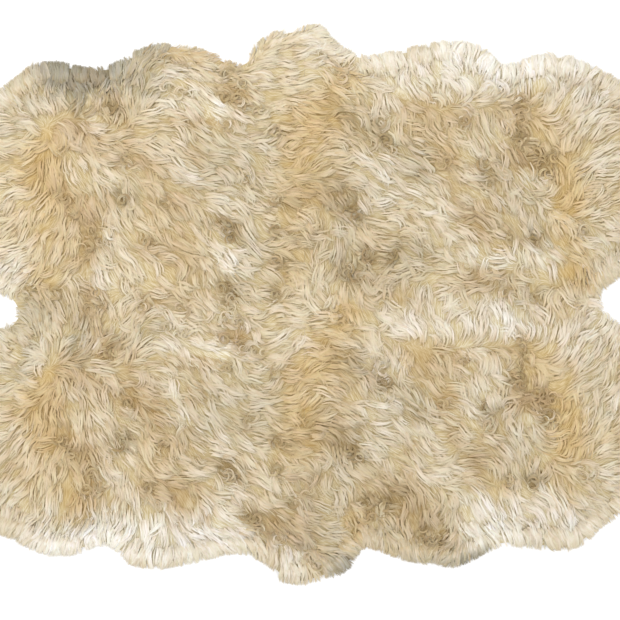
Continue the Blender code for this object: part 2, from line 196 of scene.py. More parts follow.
# Tints of the wool: x, y, half-width along x, along y, strength; each one covers those before it
TINTS = {
    "honey": (
        (-0.65, 0.37, 0.04, 0.05, 0.9), (-0.64, 0.31, 0.04, 0.06, 1.0), (-0.7, 0.33, 0.05, 0.05, 0.5),
        (-0.6, 0.26, 0.05, 0.035, 0.7), (-0.67, 0.2, 0.06, 0.08, 0.5), (-0.62, 0.43, 0.03, 0.02, 0.6),
        (-0.57, 0.15, 0.04, 0.05, 0.6), (-0.76, 0.13, 0.025, 0.02, 0.5), (-0.66, 0.05, 0.05, 0.045, 0.7),
        (-0.3, 0.62, 0.08, 0.02, 0.7), (-0.38, 0.22, 0.05, 0.06, 0.4), (-0.3, 0.1, 0.06, 0.09, 0.3),
        (-0.02, 0.42, 0.04, 0.08, 0.8), (-0.03, 0.28, 0.045, 0.08, 0.7), (-0.04, 0.1, 0.045, 0.07, 0.6),
        (0.05, 0.47, 0.045, 0.07, 1.0), (0.1, 0.57, 0.035, 0.045, 1.0), (0.02, 0.3, 0.035, 0.06, 0.8),
        (0.31, 0.46, 0.07, 0.05, 0.5), (0.35, 0.37, 0.03, 0.035, 0.7), (0.55, 0.46, 0.05, 0.07, 0.7),
        (0.64, 0.42, 0.045, 0.08, 0.6), (0.65, 0.31, 0.045, 0.06, 1.0), (0.66, 0.24, 0.04, 0.03, 1.0),
        (0.68, 0.09, 0.04, 0.04, 0.2), (0.64, 0.17, 0.05, 0.025, 0.7), (0.68, 0.09, 0.045, 0.04, 1.0),
        (0.77, 0.46, 0.03, 0.03, 0.3), (0.76, 0.27, 0.05, 0.03, 0.4), (0.49, 0.14, 0.03, 0.02, 0.5),
        (0.66, 0.0, 0.06, 0.05, 0.5),
    ),
    "ash": (
        (-0.66, 0.585, 0.07, 0.045, 0.4), (-0.76, 0.53, 0.04, 0.04, 0.3), (-0.6, 0.6, 0.055, 0.075, 0.9),
        (-0.54, 0.6, 0.065, 0.065, 1.5), (-0.48, 0.6, 0.05, 0.075, 0.2), (-0.41, 0.6, 0.07, 0.06, 0.5),
        (-0.37, 0.64, 0.04, 0.02, 0.53), (-0.56, 0.5, 0.022, 0.06, 0.68), (-0.675, 0.49, 0.035, 0.035, 0.3),
        (-0.39, 0.535, 0.05, 0.035, 0.3), (-0.72, 0.43, 0.045, 0.015, 0.38),
        (-0.45, 0.265, 0.04, 0.02, 0.38), (-0.26, 0.34, 0.05, 0.06, 0.15), (-0.15, 0.35, 0.1, 0.09, 0.23),
        (-0.13, 0.13, 0.06, 0.08, 0.23), (0.09, 0.16, 0.03, 0.09, 0.3), (0.26, 0.35, 0.06, 0.05, 0.3),
        (0.15, 0.26, 0.07, 0.05, 0.23), (0.2, 0.07, 0.08, 0.04, 0.23), (0.27, 0.13, 0.06, 0.03, 0.3),
        (0.54, 0.27, 0.06, 0.05, 0.23), (0.57, 0.17, 0.03, 0.02, 0.3), (0.8, 0.13, 0.04, 0.04, 0.3),
        (0.53, 0.59, 0.015, 0.03, 0.46),
    ),
    "ivory": (
        (-0.33, 0.515, 0.032, 0.035, 0.4), (-0.33, 0.58, 0.03, 0.02, 0.4), (-0.26, 0.575, 0.05, 0.045, 0.1),
        (-0.26, 0.49, 0.07, 0.022, 0.4), (-0.2, 0.48, 0.04, 0.016, 0.8), (-0.34, 0.38, 0.04, 0.045, 0.1),
        (-0.29, 0.325, 0.04, 0.025, 0.5), (-0.53, 0.48, 0.014, 0.06, 0.6), (-0.47, 0.15, 0.03, 0.025, 0.35),
        (-0.5, 0.065, 0.035, 0.022, 0.6), (-0.4, 0.09, 0.022, 0.022, 0.15),
        (-0.19, 0.14, 0.035, 0.022, 0.6), (-0.19, 0.09, 0.035, 0.018, 0.8),
        (-0.19, 0.25, 0.035, 0.014, 0.5), (-0.02, 0.67, 0.06, 0.03, 0.2), (-0.75, 0.07, 0.05, 0.05, 0.8),
        (-0.8, 0.48, 0.06, 0.06, 0.5), (-0.73, 0.27, 0.05, 0.03, 0.3), (-0.71, 0.13, 0.035, 0.025, 0.5),
        (0.22, 0.6, 0.045, 0.1, 0.5), (0.29, 0.57, 0.06, 0.06, 0.5), (0.15, 0.62, 0.06, 0.04, 0.7),
        (0.4, 0.57, 0.07, 0.05, 0.4), (0.42, 0.64, 0.08, 0.065, 1.8), (0.49, 0.575, 0.03, 0.035, 0.8),
        (0.23, -0.06, 0.04, 0.04, 0.3), (0.19, 0.34, 0.035, 0.022, 0.5), (0.28, 0.285, 0.035, 0.03, 0.35),
        (0.31, 0.245, 0.035, 0.03, 0.1), (0.05, 0.62, 0.04, 0.04, 0.5), (0.36, 0.195, 0.055, 0.045, 0.2),
        (0.04, 0.69, 0.04, 0.02, 0.5), (-0.25, 0.635, 0.04, 0.02, 0.5), (0.21, 0.29, 0.045, 0.03, 0.3),
        (0.17, 0.24, 0.05, 0.01, 0.5), (0.48, 0.44, 0.022, 0.035, 0.5), (0.41, 0.5, 0.018, 0.03, 0.4),
        (0.43, 0.115, 0.05, 0.014, 0.9), (0.52, 0.11, 0.025, 0.018, 0.9), (0.6, 0.115, 0.035, 0.028, 0.8),
        (0.735, 0.12, 0.04, 0.035, 0.5), (0.51, 0.53, 0.03, 0.03, 0.4), (0.71, 0.52, 0.08, 0.08, 0.5),
        (0.76, 0.36, 0.06, 0.03, 0.3), (0.76, 0.2, 0.06, 0.05, 0.2), (0.56, 0.31, 0.045, 0.02, 0.4),
        (-0.05, 0.6, 0.06, 0.04, 0.15), (0.62, 0.615, 0.08, 0.045, 0.9), (0.57, 0.6, 0.05, 0.06, 0.7),
    ),
    "fawn": (
        (-0.6, 0.275, 0.02, 0.02, 1.0), (-0.49, 0.49, 0.045, 0.035, 0.6),
        (-0.515, 0.235, 0.045, 0.04, 0.55), (-0.57, 0.24, 0.045, 0.03, 0.6),
        (-0.53, 0.185, 0.024, 0.035, 0.7), (-0.53, 0.14, 0.028, 0.028, 0.7),
        (-0.55, 0.095, 0.035, 0.022, 0.7), (-0.53, 0.03, 0.03, 0.026, 0.9), (-0.53, -0.02, 0.03, 0.03, 0.9),
        (-0.61, 0.04, 0.06, 0.018, 0.4), (-0.59, -0.02, 0.04, 0.03, 0.3), (-0.3, 0.62, 0.07, 0.014, 0.6),
        (-0.19, 0.601, 0.028, 0.028, 0.6), (-0.18, 0.53, 0.032, 0.024, 0.9), (-0.155, 0.5, 0.02, 0.03, 0.8),
        (-0.24, 0.45, 0.05, 0.015, 0.8), (-0.31, 0.455, 0.035, 0.012, 0.6),
        (-0.27, 0.375, 0.025, 0.032, 0.6), (-0.365, 0.32, 0.035, 0.035, 0.8),
        (-0.58, 0.435, 0.04, 0.04, 0.9), (-0.53, 0.385, 0.035, 0.04, 0.6), (-0.39, 0.42, 0.05, 0.04, 0.25),
        (0.28, 0.01, 0.04, 0.03, 0.35), (-0.27, 0.0, 0.04, 0.025, 0.3), (0.015, 0.165, 0.04, 0.035, 0.5),
        (-0.595, 0.19, 0.04, 0.03, 0.4), (0.09, 0.43, 0.035, 0.03, 0.4), (-0.29, 0.25, 0.04, 0.03, 0.4),
        (0.12, 0.405, 0.045, 0.035, 0.4), (-0.44, 0.37, 0.042, 0.03, 0.8), (-0.44, 0.45, 0.022, 0.045, 0.6),
        (-0.51, 0.42, 0.03, 0.02, 0.5), (-0.34, 0.245, 0.042, 0.024, 0.7), (-0.39, 0.15, 0.026, 0.022, 0.8),
        (-0.33, 0.14, 0.04, 0.045, 0.4), (-0.28, 0.12, 0.035, 0.06, 0.4), (-0.39, 0.0, 0.035, 0.022, 0.7),
        (-0.33, 0.005, 0.045, 0.03, 0.5), (-0.02, 0.44, 0.024, 0.05, 0.5), (0.07, 0.5, 0.04, 0.03, 0.4),
        (0.31, 0.44, 0.05, 0.03, 0.6), (0.39, 0.46, 0.022, 0.022, 0.9), (0.28, 0.49, 0.06, 0.03, 0.5),
        (0.35, 0.36, 0.03, 0.028, 0.8), (0.37, 0.285, 0.022, 0.03, 0.7), (0.43, 0.22, 0.04, 0.032, 0.9),
        (0.44, 0.17, 0.026, 0.022, 0.6), (0.48, 0.27, 0.012, 0.035, 0.7), (0.47, 0.49, 0.03, 0.024, 0.5),
        (0.55, 0.52, 0.022, 0.022, 0.4), (0.53, 0.46, 0.028, 0.04, 0.6), (0.56, 0.365, 0.035, 0.028, 1.0),
        (0.6, 0.36, 0.026, 0.026, 0.9), (0.51, 0.35, 0.035, 0.045, 0.5), (0.26, 0.225, 0.014, 0.045, 0.5),
        (0.17, 0.165, 0.045, 0.03, 0.5), (0.43, 0.06, 0.04, 0.034, 0.9), (0.51, 0.045, 0.02, 0.04, 0.7),
        (0.51, 0.18, 0.022, 0.026, 0.5), (0.23, 0.01, 0.035, 0.016, 0.5), (0.08, 0.34, 0.045, 0.014, 0.7),
        (0.07, 0.27, 0.045, 0.04, 0.7), (-0.64, 0.33, 0.045, 0.06, 0.55), (0.68, 0.09, 0.045, 0.045, 0.2),
        (-0.03, 0.27, 0.04, 0.04, 0.3), (0.19, 0.055, 0.06, 0.04, 0.45),
    ),
    "umber": (
        (-0.48, 0.5, 0.024, 0.026, 1.0), (-0.54, 0.57, 0.045, 0.026, 0.5), (-0.56, 0.47, 0.012, 0.04, 0.5),
        (-0.45, 0.265, 0.022, 0.018, 0.7), (-0.29, 0.29, 0.045, 0.01, 0.6),
        (-0.25, 0.215, 0.045, 0.012, 0.5), (-0.19, 0.2, 0.026, 0.022, 0.9),
        (-0.165, 0.165, 0.022, 0.02, 0.8), (-0.14, 0.31, 0.012, 0.028, 0.4),
        (-0.035, 0.255, 0.042, 0.014, 0.9), (-0.06, 0.18, 0.014, 0.02, 0.6),
        (-0.04, 0.102, 0.04, 0.013, 0.8), (-0.065, 0.035, 0.016, 0.02, 0.6),
        (-0.07, 0.43, 0.016, 0.012, 0.5), (-0.19, 0.045, 0.026, 0.022, 0.9),
        (-0.17, 0.015, 0.022, 0.02, 0.5), (-0.25, 0.06, 0.018, 0.018, 0.4), (0.01, 0.31, 0.024, 0.018, 0.7),
        (0.01, 0.165, 0.036, 0.012, 0.8), (0.11, 0.47, 0.036, 0.016, 0.8), (0.15, 0.435, 0.04, 0.016, 0.6),
        (0.19, 0.405, 0.026, 0.016, 0.8), (0.28, 0.32, 0.035, 0.012, 0.8), (0.27, 0.385, 0.04, 0.012, 0.4),
        (0.46, 0.335, 0.028, 0.02, 0.7), (0.53, 0.415, 0.018, 0.02, 0.8), (0.605, 0.325, 0.016, 0.016, 0.8),
        (0.56, 0.355, 0.018, 0.016, 0.5), (0.135, 0.295, 0.016, 0.016, 0.5), (0.08, 0.27, 0.04, 0.035, 0.6),
        (0.115, 0.232, 0.026, 0.018, 1.0), (0.155, 0.12, 0.022, 0.02, 1.0),
        (0.215, 0.122, 0.03, 0.016, 0.7), (0.24, 0.145, 0.026, 0.016, 0.5),
        (0.295, 0.13, 0.022, 0.018, 0.6), (0.11, 0.08, 0.022, 0.018, 0.9), (0.57, 0.165, 0.022, 0.02, 0.7),
        (0.57, 0.02, 0.024, 0.022, 0.8), (0.43, 0.225, 0.02, 0.014, 0.4), (0.07, 0.1, 0.02, 0.016, 0.4),
    ),
}

# Tints of the front row alone, at its rim and where it differs from the back row
TINTS_FRONT = {
    "honey": (
        (-0.56, -0.5, 0.035, 0.03, 0.7), (0.02, -0.63, 0.03, 0.035, 0.5), (0.15, -0.52, 0.045, 0.02, 0.8),
        (0.12, -0.57, 0.026, 0.03, 0.8), (0.65, -0.5, 0.03, 0.02, 0.6),
    ),
    "ash": (
        (0.02, -0.56, 0.05, 0.05, 0.38), (0.2, -0.58, 0.04, 0.03, 0.3), (0.37, -0.64, 0.045, 0.018, 0.68),
        (0.43, -0.63, 0.05, 0.022, 0.9), (0.28, -0.64, 0.05, 0.014, 0.38),
        (-0.04, -0.68, 0.04, 0.016, 0.38), (0.1, -0.655, 0.045, 0.035, 1.0),
        (0.36, -0.52, 0.03, 0.04, 0.23), (0.59, -0.61, 0.04, 0.014, 0.23),
    ),
    "ivory": (
        (-0.4, -0.59, 0.13, 0.058, 1.4), (-0.27, -0.59, 0.045, 0.06, 0.9), (-0.2, -0.57, 0.045, 0.06, 0.9),
        (-0.66, -0.57, 0.08, 0.045, 0.4), (-0.59, -0.62, 0.07, 0.05, 1.4), (-0.5, -0.57, 0.05, 0.05, 1.0),
        (-0.03, -0.63, 0.045, 0.05, 0.8), (-0.13, -0.6, 0.03, 0.03, 0.5), (0.45, -0.56, 0.055, 0.038, 1.3),
        (0.43, -0.5, 0.035, 0.022, 1.0), (0.54, -0.56, 0.06, 0.045, 1.0), (0.6, -0.5, 0.035, 0.04, 0.7),
        (0.68, -0.55, 0.05, 0.045, 0.9), (0.77, -0.47, 0.05, 0.05, 0.2), (0.52, -0.49, 0.03, 0.02, 0.4),
        (0.08, -0.57, 0.014, 0.022, 0.6), (0.8, -0.52, 0.05, 0.05, 0.2), (0.49, -0.06, 0.04, 0.03, 0.5),
        (-0.37, -0.19, 0.04, 0.035, 0.4), (-0.03, -0.1, 0.04, 0.04, 0.5), (0.2, -0.16, 0.04, 0.035, 0.6),
        (-0.75, -0.49, 0.05, 0.04, 0.4), (0.57, -0.045, 0.05, 0.035, 0.6), (-0.16, -0.06, 0.04, 0.03, 0.35),
        (0.44, -0.24, 0.05, 0.04, 0.6),
    ),
    "fawn": (
        (-0.55, -0.51, 0.026, 0.026, 0.8), (-0.47, -0.49, 0.026, 0.02, 0.5),
        (-0.3, -0.47, 0.065, 0.045, 0.6), (-0.32, -0.54, 0.018, 0.028, 0.5),
        (-0.25, -0.53, 0.014, 0.022, 0.5), (-0.25, -0.61, 0.016, 0.02, 0.5),
        (-0.11, -0.53, 0.045, 0.032, 0.6), (-0.05, -0.56, 0.05, 0.036, 0.8), (0.0, -0.61, 0.022, 0.04, 0.3),
        (0.25, -0.47, 0.05, 0.045, 0.8), (0.27, -0.53, 0.05, 0.035, 0.7), (0.15, -0.51, 0.05, 0.03, 0.5),
        (0.34, -0.57, 0.04, 0.04, 0.5), (0.22, -0.61, 0.06, 0.02, 0.4), (0.57, -0.55, 0.014, 0.026, 0.4),
        (-0.39, -0.24, 0.045, 0.04, 0.5), (-0.5, -0.1, 0.04, 0.03, 0.6), (0.01, -0.53, 0.035, 0.03, 0.5),
    ),
    "umber": (
        (-0.12, -0.525, 0.026, 0.016, 0.5), (-0.06, -0.545, 0.026, 0.02, 0.6),
        (0.0, -0.59, 0.03, 0.016, 0.7), (-0.02, -0.49, 0.036, 0.01, 0.8), (0.155, -0.485, 0.02, 0.02, 1.0),
        (0.21, -0.49, 0.022, 0.016, 1.0), (0.29, -0.575, 0.018, 0.016, 1.0),
        (0.34, -0.585, 0.016, 0.02, 1.0), (0.31, -0.605, 0.016, 0.012, 0.7), (0.25, -0.46, 0.03, 0.02, 0.5),
        (0.29, -0.53, 0.03, 0.02, 0.5), (0.03, -0.62, 0.035, 0.035, 0.1), (0.22, -0.49, 0.04, 0.03, 0.2),
    ),
}
TINT_NAMES = tuple(TINTS)


# ---------------------------------------------------------------- settings


def colour_setting(name, description, default):
    return FloatVectorProperty(
        name=name, description=description, default=default, subtype="COLOR", size=3, min=0, max=1
    )


def length_setting(name, description, default):
    return FloatProperty(
        name=name, description=description, default=default, min=0, unit="LENGTH", precision=4
    )


def share_setting(name, description, default):
    return FloatProperty(
        name=name, description=description, default=default, min=0, max=1, subtype="FACTOR"
    )


class RugWoolSettings(bpy.types.PropertyGroup):
    lock_pitch: length_setting("Lock pitch", "Distance between neighbouring locks", 0.0268)
    lock_length: length_setting("Lock length", "Length of a usual lock from skin to tip", 0.095)
    lock_radius: length_setting("Lock radius", "Half-width of a lock at its root", 0.016)
    wisp_radius: length_setting("Wisp radius", "Half-width of one wisp in a lock", 0.0026)
    root_depth: length_setting("Root depth", "Roots lie this far under the surface", 0.012)
    strand_width: length_setting("Strand width", "Width of one strand at its middle", 0.0016)
    crimp: length_setting("Crimp", "Sideways swing of the waves in a lock", 0.002)
    wisps: IntProperty(name="Wisps", description="Wisps in one lock", default=8, min=1, max=12)
    strands: IntProperty(name="Strands", description="Strands in one wisp", default=4, min=1, max=12)
    roughness: share_setting("Roughness", "Roughness of the wool", 0.75)
    base: colour_setting("Wool", "Usual colour of the wool", (0.69, 0.615, 0.465))
    # the root colour is partly the wool's own warmer tone near the skin and partly painted shade between
    # the locks
    root: colour_setting("Root", "Colour of the wool near the skin", (0.655, 0.485, 0.265))
    honey: colour_setting("Honey", "Warm golden patches", (0.655, 0.495, 0.255))
    ash: colour_setting("Ash", "Grey patches", (0.33, 0.31, 0.25))
    ivory: colour_setting("Ivory", "Light patches", (0.875, 0.855, 0.80))
    fawn: colour_setting("Fawn", "Brown patches", (0.50, 0.37, 0.21))
    # umber also darkens the hearts of the rosettes, partly as painted shade of their hollows
    umber: colour_setting("Umber", "Dark spots and the hearts of curls", (0.33, 0.25, 0.135))


class RugHideSettings(bpy.types.PropertyGroup):
    suede: colour_setting("Suede", "Colour of the tanned skin", (0.70, 0.585, 0.43))
    roughness: share_setting("Roughness", "Roughness of the tanned skin", 0.85)
    thread: colour_setting("Thread", "Colour of the sewing thread", (0.78, 0.72, 0.60))
    thread_width: length_setting("Thread width", "Width of the sewing thread", 0.0008)
    stitch_pitch: length_setting("Stitch pitch", "Distance between stitches", 0.005)
    stitch_length: length_setting("Stitch length", "Length of one stitch over the seam", 0.007)


class RugStudioSettings(bpy.types.PropertyGroup):
    floor: colour_setting("Floor", "Colour of the floor", (0.90, 0.90, 0.90))
    key_power: FloatProperty(
        name="Key", description="Power of the soft light over the rug", default=48, unit="POWER"
    )
    sky: FloatProperty(name="Sky", description="Strength of the light all round", default=0.96)
    view_width: length_setting("View", "Width of floor that the camera takes in", 1.55)
    lens: FloatProperty(name="Lens", description="Focal length", default=85, unit="CAMERA")


# ---------------------------------------------------------------- plan of the rug


def smooth_line(points):
    """A smooth line through the points: Bezier spans with a common direction at each point."""
    ends = [2 * points[0] - points[1]] + points + [2 * points[-1] - points[-2]]
    line = [points[0]]
    for before, start, end, after in zip(ends, ends[1:], ends[2:], ends[3:]):
        handle_out = start + (end - before) * HANDLE_SHARE
        handle_in = end - (after - start) * HANDLE_SHARE
        line.extend(interpolate_bezier(start, handle_out, handle_in, end, SPAN_STEPS + 1)[1:])
    return line


def even_points(line, spans):
    """Points at even distances along a line, both ends included."""
    lengths = [(b - a).length for a, b in zip(line, line[1:])]
    pitch = sum(lengths) / spans
    points = [line[0]]
    walked = 0.0
    for start, end, length in zip(line, line[1:], lengths):
        while len(points) < spans and walked + length >= pitch * len(points):
            points.append(start.lerp(end, (pitch * len(points) - walked) / length))
        walked += length
    return points + [line[-1]]


def long_seam_y(x):
    """Where the long seam lies at a given place along the rug."""
    share = (x - LEFT_NOTCH.x) / (RIGHT_NOTCH.x - LEFT_NOTCH.x)
    return LEFT_NOTCH.y + share * (RIGHT_NOTCH.y - LEFT_NOTCH.y)


RIM_SPANS = 80                  # spans between the outline's points, for each pelt
CHUNK = 8000                    # places worked on at once, to save memory
TIP_LINES = {name: smooth_line([Vector(row) for row in rows]) for name, rows in PELT_RIM.items()}


def rug_outline():
    """The wool tips all round the rug, as one closed line."""
    lines = {name: even_points(line, RIM_SPANS) for name, line in TIP_LINES.items()}
    ring = (
        lines["back_left"][::-1][:-1]
        + lines["back_right"][:-1]
        + lines["front_right"][::-1][:-1]
        + lines["front_left"][:-1]
    )
    return np.array(ring)


OUTLINE = rug_outline()


def inside_rug(places):
    """Which places lie inside the outline of the wool tips."""
    x, y = places[:, 0, None], places[:, 1, None]
    start, end = OUTLINE, np.roll(OUTLINE, -1, axis=0)
    spans = (start[:, 1] > y) != (end[:, 1] > y)
    rise = np.where(end[:, 1] == start[:, 1], TINY, end[:, 1] - start[:, 1])
    crossing = start[:, 0] + (y - start[:, 1]) / rise * (end[:, 0] - start[:, 0])
    return (spans & (x < crossing)).sum(axis=1) % 2 == 1


def from_outline(places):
    """How far inside the outline each place lies, less than 0 outside, and the way out of it."""
    start, run = OUTLINE, np.roll(OUTLINE, -1, axis=0) - OUTLINE
    depth = np.empty(len(places))
    way_out = np.empty((len(places), 2))
    for first in range(0, len(places), CHUNK):
        some = places[first : first + CHUNK]
        offset = some[:, None] - start
        share = np.clip((offset * run).sum(2) / (run**2).sum(1), 0, 1)
        to_line = share[..., None] * run - offset
        gap = np.hypot(to_line[..., 0], to_line[..., 1])
        nearest = gap.argmin(1)
        row = np.arange(len(some))
        sign = np.where(inside_rug(some), 1.0, -1.0)
        depth[first : first + CHUNK] = gap[row, nearest] * sign
        out = to_line[row, nearest] * (sign / np.maximum(gap[row, nearest], TINY))[:, None]
        way_out[first : first + CHUNK] = out
    return depth, way_out


def lumps(places):
    """The slow rise and fall of the wool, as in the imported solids."""
    flat = places.reshape(-1, 2)
    values = [noise.noise(Vector((x, y, 0.0)) / LUMP_LENGTH) for x, y in flat]
    return np.array(values).reshape(places.shape[:-1]) * PILE_LUMP


def pile_height(places, depth):
    """Height of the wool's surface over places that lie that deep inside the outline."""
    from_rim = np.clip((depth - RIM_LOCKS) / RIM_SLOPE, 0, 1)
    rise = np.sin(from_rim * math.pi / 2) ** 2
    to_long_seam = np.abs(places[..., 1] - long_seam_y(places[..., 0]))
    to_seam = np.minimum(np.abs(places[..., 0]), to_long_seam)
    dip = SEAM_DIP * np.exp(-((to_seam / SEAM_DIP_WIDTH) ** 2))
    inner = RIM_TOP + (PILE_TOP - RIM_TOP + lumps(places) - dip) * rise
    rim_share = np.clip(depth / RIM_LOCKS, 0, 1) ** RIM_FULLNESS
    return np.where(depth < RIM_LOCKS, TIP_HEIGHT + (RIM_TOP - TIP_HEIGHT) * rim_share, inner)


def soft_noise(places, scale, seed):
    """Smooth random values from -1 to 1 that change over the given length."""
    cells = 97                  # the pattern repeats after this many lengths
    lattice = np.random.default_rng(seed).uniform(-1, 1, (cells, cells))
    at = places / scale
    low = np.floor(at).astype(int)
    share = at - low
    share = share * share * (3 - 2 * share)
    x0, y0 = low[..., 0] % cells, low[..., 1] % cells
    x1, y1 = (x0 + 1) % cells, (y0 + 1) % cells
    sx, sy = share[..., 0], share[..., 1]
    near = lattice[x0, y0] * (1 - sx) + lattice[x1, y0] * sx
    far = lattice[x0, y1] * (1 - sx) + lattice[x1, y1] * sx
    return near * (1 - sy) + far * sy


def ease(share):
    """A share that starts and ends softly."""
    share = np.clip(share, 0, 1)
    return share * share * (3 - 2 * share)


# ---------------------------------------------------------------- pattern of the wool


def both_rows(rows, front_rows):
    """A table for the back row of pelts, repeated for the front row and with its own rows added."""
    repeat = [
        (row[0], row[1] + ROW_SHIFT, *row[2:])
        for row in rows
        if row[1] < ROW_TOP_Y and row[1] + ROW_SHIFT > FRONT_RIM_Y
    ]
    return np.array([*rows, *repeat, *front_rows], dtype=float)


COMB_ROWS = both_rows(COMB, COMB_FRONT_RIM)
CURL_ROWS = both_rows(CURLS, CURLS_FRONT_RIM)
TINT_ROWS = {name: both_rows(TINTS[name], TINTS_FRONT[name]) for name in TINTS}

TINT_STRENGTH = 0.83
TINT_SCATTER = 0.007            # how far the locks carry a tint past its place
CURL_UMBER_AND_SHADE = 0.7                # strength of umber in the heart of a rosette: partly the wool's own dark tone, partly painted shade in its hollow
CURL_REACH = 0.016
CURL_PULL = 1.6
CURL_INWARD = 0.4               # how strongly the wool of a rosette winds inwards
RIM_PULL = 1.6
RIM_PULL_REACH = 0.034
FAINT_WEIGHT = 1e-12            # weight of each combing row at places far from all of them
STRAYS = (  # how the combing strays: over which length, how far, and the seed of its pattern
    (0.070, math.radians(28), 11),
    (0.025, math.radians(22), 12),
)


def turned(way, angle):
    """Directions over the floor, turned by the angles."""
    cos, sin = np.cos(angle), np.sin(angle)
    return np.stack((way[..., 0] * cos - way[..., 1] * sin, way[..., 0] * sin + way[..., 1] * cos), -1)


def unit(vectors):
    """The vectors at length 1."""
    return vectors / np.maximum(np.linalg.norm(vectors, axis=-1, keepdims=True), TINY)


def curl_share(places):
    """How strongly each place belongs to a rosette, which one is nearest and the way from its heart."""
    offset = places[:, None] - CURL_ROWS[None, :, :2]
    gap = (offset**2).sum(2)
    nearest = gap.argmin(1)
    row = np.arange(len(places))
    return np.exp(-gap[row, nearest] / CURL_REACH**2), nearest, offset[row, nearest]


def comb_sum(places):
    """Sum of the combing's directions round each place, each by its nearness, and of the weights."""
    offset = places[:, None] - COMB_ROWS[None, :, :2]
    weight = np.exp(-(offset**2).sum(2) / (2 * COMB_REACH**2)) + FAINT_WEIGHT
    heading = np.radians(COMB_ROWS[:, 2])
    return np.stack((weight @ np.cos(heading), weight @ np.sin(heading)), -1), weight.sum(1)


def comb_agreement(places):
    """How well the combing near each place agrees: 1 in an even stretch, less at a parting."""
    way, weight = comb_sum(places)
    return np.hypot(way[:, 0], way[:, 1]) / weight


def combed_way(places):
    """Unit direction in which the wool lies at each place."""
    way = unit(comb_sum(places)[0])
    way = turned(way, sum(soft_noise(places, length, seed) * angle for length, angle, seed in STRAYS))
    share, nearest, from_heart = curl_share(places)
    spin = np.where(nearest % 2 == 0, 1.0, -1.0)
    round_heart = np.stack((-from_heart[:, 1], from_heart[:, 0]), -1) * spin[:, None]
    way = way + unit(round_heart - CURL_INWARD * from_heart) * (CURL_PULL * share)[:, None]
    depth, way_out = from_outline(places)
    pull = RIM_PULL * np.exp(-((depth / RIM_PULL_REACH) ** 2))
    return unit(way + way_out * np.where(depth < 0, RIM_PULL, pull)[:, None])


def tint_shares(places, rng):
    """Strength of each tint at each place; a column for each of TINT_NAMES."""
    places = places + rng.normal(0, TINT_SCATTER, places.shape)
    shares = []
    for name in TINT_NAMES:
        rows = TINT_ROWS[name]
        offset = (places[:, None] - rows[None, :, :2]) / rows[None, :, 2:4]
        weight = np.exp(-((offset**2).sum(2) ** 2) / 2) * rows[:, 4] * TINT_STRENGTH
        shares.append(np.clip(weight.sum(1), 0, 1))
    # umber in the hearts of the rosettes, partly painted shade of their hollows
    shares[TINT_NAMES.index("umber")] += CURL_UMBER_AND_SHADE * curl_share(places)[0] ** 2
    return np.clip(np.stack(shares, -1), 0, 1)


# ---------------------------------------------------------------- wool strands

UP = np.array((0.0, 0.0, 1.0))
AXIS_STEPS = 16                 # straight steps in the middle line of a lock
STATIONS = np.array((0.0, 0.30, 0.56, 0.79, 1.0))   # where a strand has its corners, over its length

# Where the locks grow
COVER_DEPTH = 0.002             # no lock is meant for a place nearer to the outline than this
FRINGE = 0.036                  # the locks are twice as many this near to the outline
OUTER_FRINGE = 0.013            # and three times as many this near
SEAM_COVER = 0.008              # and twice as many this near to a seam
PLACE_SCATTER = 0.6             # how far a lock is off its even place, over the pitch
COVER_SHARE = 0.62              # how far along its length a lock reaches the place it covers
UPSTREAM_STEPS = 8
REACH_OVER = 1.16               # rim locks are this much longer than their way to the outline
TRIMMED_SHARE = 0.995           # a lock shortened to less than this share is a rim lock
RIM_ZONE = 0.170                # locks rooted this close to the outline are the rim's

# How a lock lies
LOCK_LENGTHS = (0.82, 1.12)     # shortest and longest, over the usual length
LOCK_WIDTHS = (0.8, 1.2)
LOCK_BEND = math.radians(20)
LOCK_LIFT = 0.0012
LOCK_SINK = 0.001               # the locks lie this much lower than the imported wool
CURLY_BEND = math.radians(150)
CURLY_LOSS = 0.35               # share of its length that a curly lock loses
CURLY_PATCH = 0.09              # size of the patches where locks curl a little
CURLY_PATCH_START = 0.2         # value of their pattern where they start
CURLY_PATCH_SHARE = 0.25        # how curly the locks are in them
CURL_START = 0.45               # a lock's bend sets in this far along it
TIDY_REACH = 0.1                # the wool is combed more tidily this near to the outline
USUAL_STRAY, TIDY_STRAY, TOUSLED_STRAY = 14, 7, 42      # degrees
HEADING_KEPT = 0.6              # share of its own heading that a lock keeps in each step
HOLLOW_DEPTH = 0.010            # the heart of a rosette lies this much lower
HOLLOW_POWER = 1.5              # how steeply it rises again round that

# How a wisp lies in its lock
WISP_LENGTHS = (0.72, 1.0)
WISP_TRIM = 0.16                # share of that spread which the wisps of a rim lock keep
WISP_VEER = 0.004               # how far a wisp strays sideways from its lock at its tip
WISP_PHASE = 0.7                # how much its waves are ahead of or behind its neighbours'
WISP_LIFT = 0.0006
TINT_STEPS = (AXIS_STEPS * 2 // 5, AXIS_STEPS * 7 // 8)     # places of a lock that give its tints
LOCK_GATHER, LOCK_FAN = 0.35, 0.40  # how much a lock narrows to its tip, and fans out at the rim
WISP_GATHER, WISP_FAN = 0.55, 0.25

